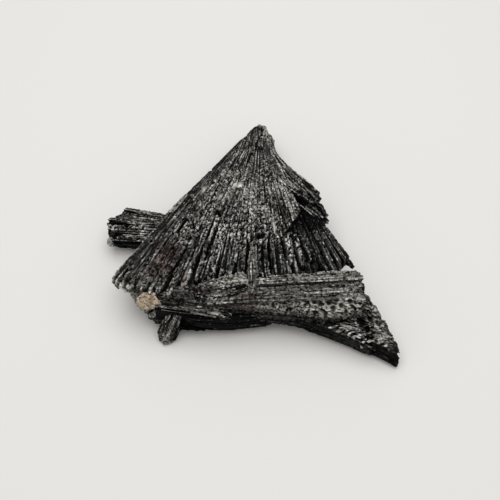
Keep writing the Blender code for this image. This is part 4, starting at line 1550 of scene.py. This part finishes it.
# %% Rim plates
plate_lines = [
    ((-17.7, -7.7, 14.0), (-34.6, -28.2, 6.2)),
    ((-19.0, -6.0, 14.4), (-36.2, -27.0, 8.4)),
    ((-21.0, -4.6, 14.6), (-38.4, -24.5, 10.8)),
    ((-23.0, -3.4, 14.8), (-41.5, -21.4, 12.6)),
    ((-25.0, -2.7, 15.0), (-45.0, -18.4, 13.8)),
]
plate_drops = [(8, 3.5), (8, 4), (8, 5), (8, 5.5), (8, 6)]
spray(
    "rim_plates", bundle_corners(plate_lines, plate_drops, 0.26, 10, 10, 16), 90,
    plain_blades(26, 30, (1.0, 2.4)), 307, floor=-1.3, reach=ragged_ends(1.4, (3, 8)), caps=(3, 9),
    bite=1.1, crust=everywhere(0.6),
    dust=patches((1.0, spot(-44, -19, 5, 4)), (0.6, spot(-37, -26, 3, 3))), painted_shade_from=0.3,
)

# %% [markdown]
# ## Grains of other minerals
# A tan grain of the rock that the fan grew on is held at the left end of the rim, and a small pale grain
# sits at the tip of the sheaf. A sphere of small faces is pushed in and out by noise, first in lumps and
# then in grains as coarse as sugar. Each has a material of its own.

# %% Paint of a grain
def grain_paint(name, light, deep, speck_and_hollow_colour, roughness):
    """Two colours in soft patches, darker in the hollows and in small specks."""
    paint = Paint(name, roughness, 1.5, 0.3)
    place = paint.place()
    ridge = paint.read("ridge")
    sugar, patch = paint.noise(place, 2.2, 3.0, 0.7), paint.noise(place, 0.5, 2.0)
    colour = paint.mix(paint.window(patch, 0.4, 0.6), light, deep)
    speck_and_hollow_dark = (paint.window(sugar, 0.52, 0.4) * 0.7 + paint.window(ridge, 0.2, -0.8) * 0.8).clip()
    colour = paint.mix(speck_and_hollow_dark, colour, speck_and_hollow_colour)
    paint.finish({"Base Color": colour}, sugar, 0.8, 0.0004)
    return paint.material


tan_rock = grain_paint(
    "tan_rock", (0.62, 0.52, 0.39, 1), (0.4, 0.3, 0.22, 1), (0.06, 0.045, 0.03, 1), 0.75,
)
pale_rock = grain_paint(
    "pale_rock", (0.5, 0.51, 0.44, 1), (0.36, 0.38, 0.31, 1), (0.1, 0.1, 0.08, 1), 0.5,
)
print("materials so far:", len(bpy.data.materials))


# %% Rough grains
def rough_grain(name, place, half, divisions, seed):
    """A ball pushed in and out: half is its half size along x, y and z."""
    bpy.ops.object.select_all(action="DESELECT")
    bpy.ops.mesh.primitive_ico_sphere_add(subdivisions=divisions, radius=1.0)
    piece = bpy.context.object
    piece.name = name
    ball = np.empty(len(piece.data.vertices) * 3)
    piece.data.vertices.foreach_get("co", ball)
    ball = ball.reshape(-1, 3)
    x, y, z = (ball * half).T
    lumps = 0.26 * rough(x * 0.4, y * 0.4, z * 0.4, seed)
    sugar = abs(rough(x * 0.9, y * 0.9, z * 0.9, seed + 1)) - 0.3
    grown = 1 + lumps - sugar * 1.1 / max(half)
    there = np.clip((ball * half) * grown[:, None] + place - ORIGIN, LOW + SKIN, HIGH - SKIN) * MM
    piece.data.vertices.foreach_set("co", there.ravel())
    note(piece, "ridge", "FLOAT", np.clip(0.4 - sugar * 2.2, -1, 1))
    bpy.ops.object.shade_smooth_by_angle(angle=math.radians(30))
    print(name, "has", len(piece.data.polygons), "triangles")
    return piece


matrix = rough_grain("tan_grain", (-36.2, -23.4, 15.3), (4.3, 3.2, 3.3), 6, 401)
dress(matrix, tan_rock, "matrix_grain")
quartz = rough_grain("pale_grain", (-53.5, 6.3, 5.7), (1.65, 1.65, 1.85), 5, 409)
dress(quartz, pale_rock, "quartz_grain")

# %% [markdown]
# ## Table, light and camera
# The specimen lies on a plain pale table, which is only a stage and not a part of it. One large soft
# light hangs above and a little behind, so shadows are short and soft and fall to the front, and a pale
# room fills them. The camera looks down steeply from the front.

# %% Table
bpy.ops.object.select_all(action="DESELECT")
bpy.ops.mesh.primitive_plane_add(size=3.0, location=(0, 0, 0))
floor = bpy.context.object
floor.name = "floor"
floor_paint = Paint("pale_floor", 0.7, 1.4)
floor_paint.shader.inputs["Base Color"].default_value = (0.76, 0.746, 0.718, 1)
floor.data.materials.append(floor_paint.material)
print("the table is", floor.dimensions.x, "m wide")


# %% Light
LIGHT_COLOUR = (1.0, 1.0, 0.995)


def area_light(name, place, aim, energy, size, colour):
    """A square soft light at this place, turned towards its aim."""
    lamp = bpy.data.lights.new(name, "AREA")
    lamp.energy, lamp.size, lamp.color = energy, size, colour
    holder = bpy.data.objects.new(name, lamp)
    bpy.context.scene.collection.objects.link(holder)
    holder.location = place
    holder.rotation_euler = (Vector(aim) - Vector(place)).to_track_quat("-Z", "Y").to_euler()


area_light("soft_box", (0.0, 0.08, 0.66), (0, 0, 0), energy=3.7, size=0.75, colour=LIGHT_COLOUR)
world = bpy.data.worlds.new("soft_room")
bpy.context.scene.world = world
world.use_nodes = True
room = world.node_tree.nodes["Background"]
room.inputs["Color"].default_value = (*LIGHT_COLOUR, 1)
room.inputs["Strength"].default_value = 0.48
print("lights:", len(bpy.data.lights))

# %% Camera
camera_data = bpy.data.cameras.new("camera")
camera_data.lens, camera_data.sensor_width, camera_data.clip_start = 65.0, 36.0, 0.01
camera = bpy.data.objects.new("camera", camera_data)
bpy.context.scene.collection.objects.link(camera)
bpy.context.scene.camera = camera
TARGET = Vector((0.6, -7.11, 12.0)) * MM
ELEVATION, DISTANCE = math.radians(60), 0.33
camera.location = TARGET + Vector((0, -math.cos(ELEVATION), math.sin(ELEVATION))) * DISTANCE
camera.rotation_euler = (TARGET - camera.location).to_track_quat("-Z", "Y").to_euler()
bpy.context.scene.view_settings.view_transform = "Standard"
print("the camera is", round((TARGET - camera.location).length, 3), "m from the middle of the fan")
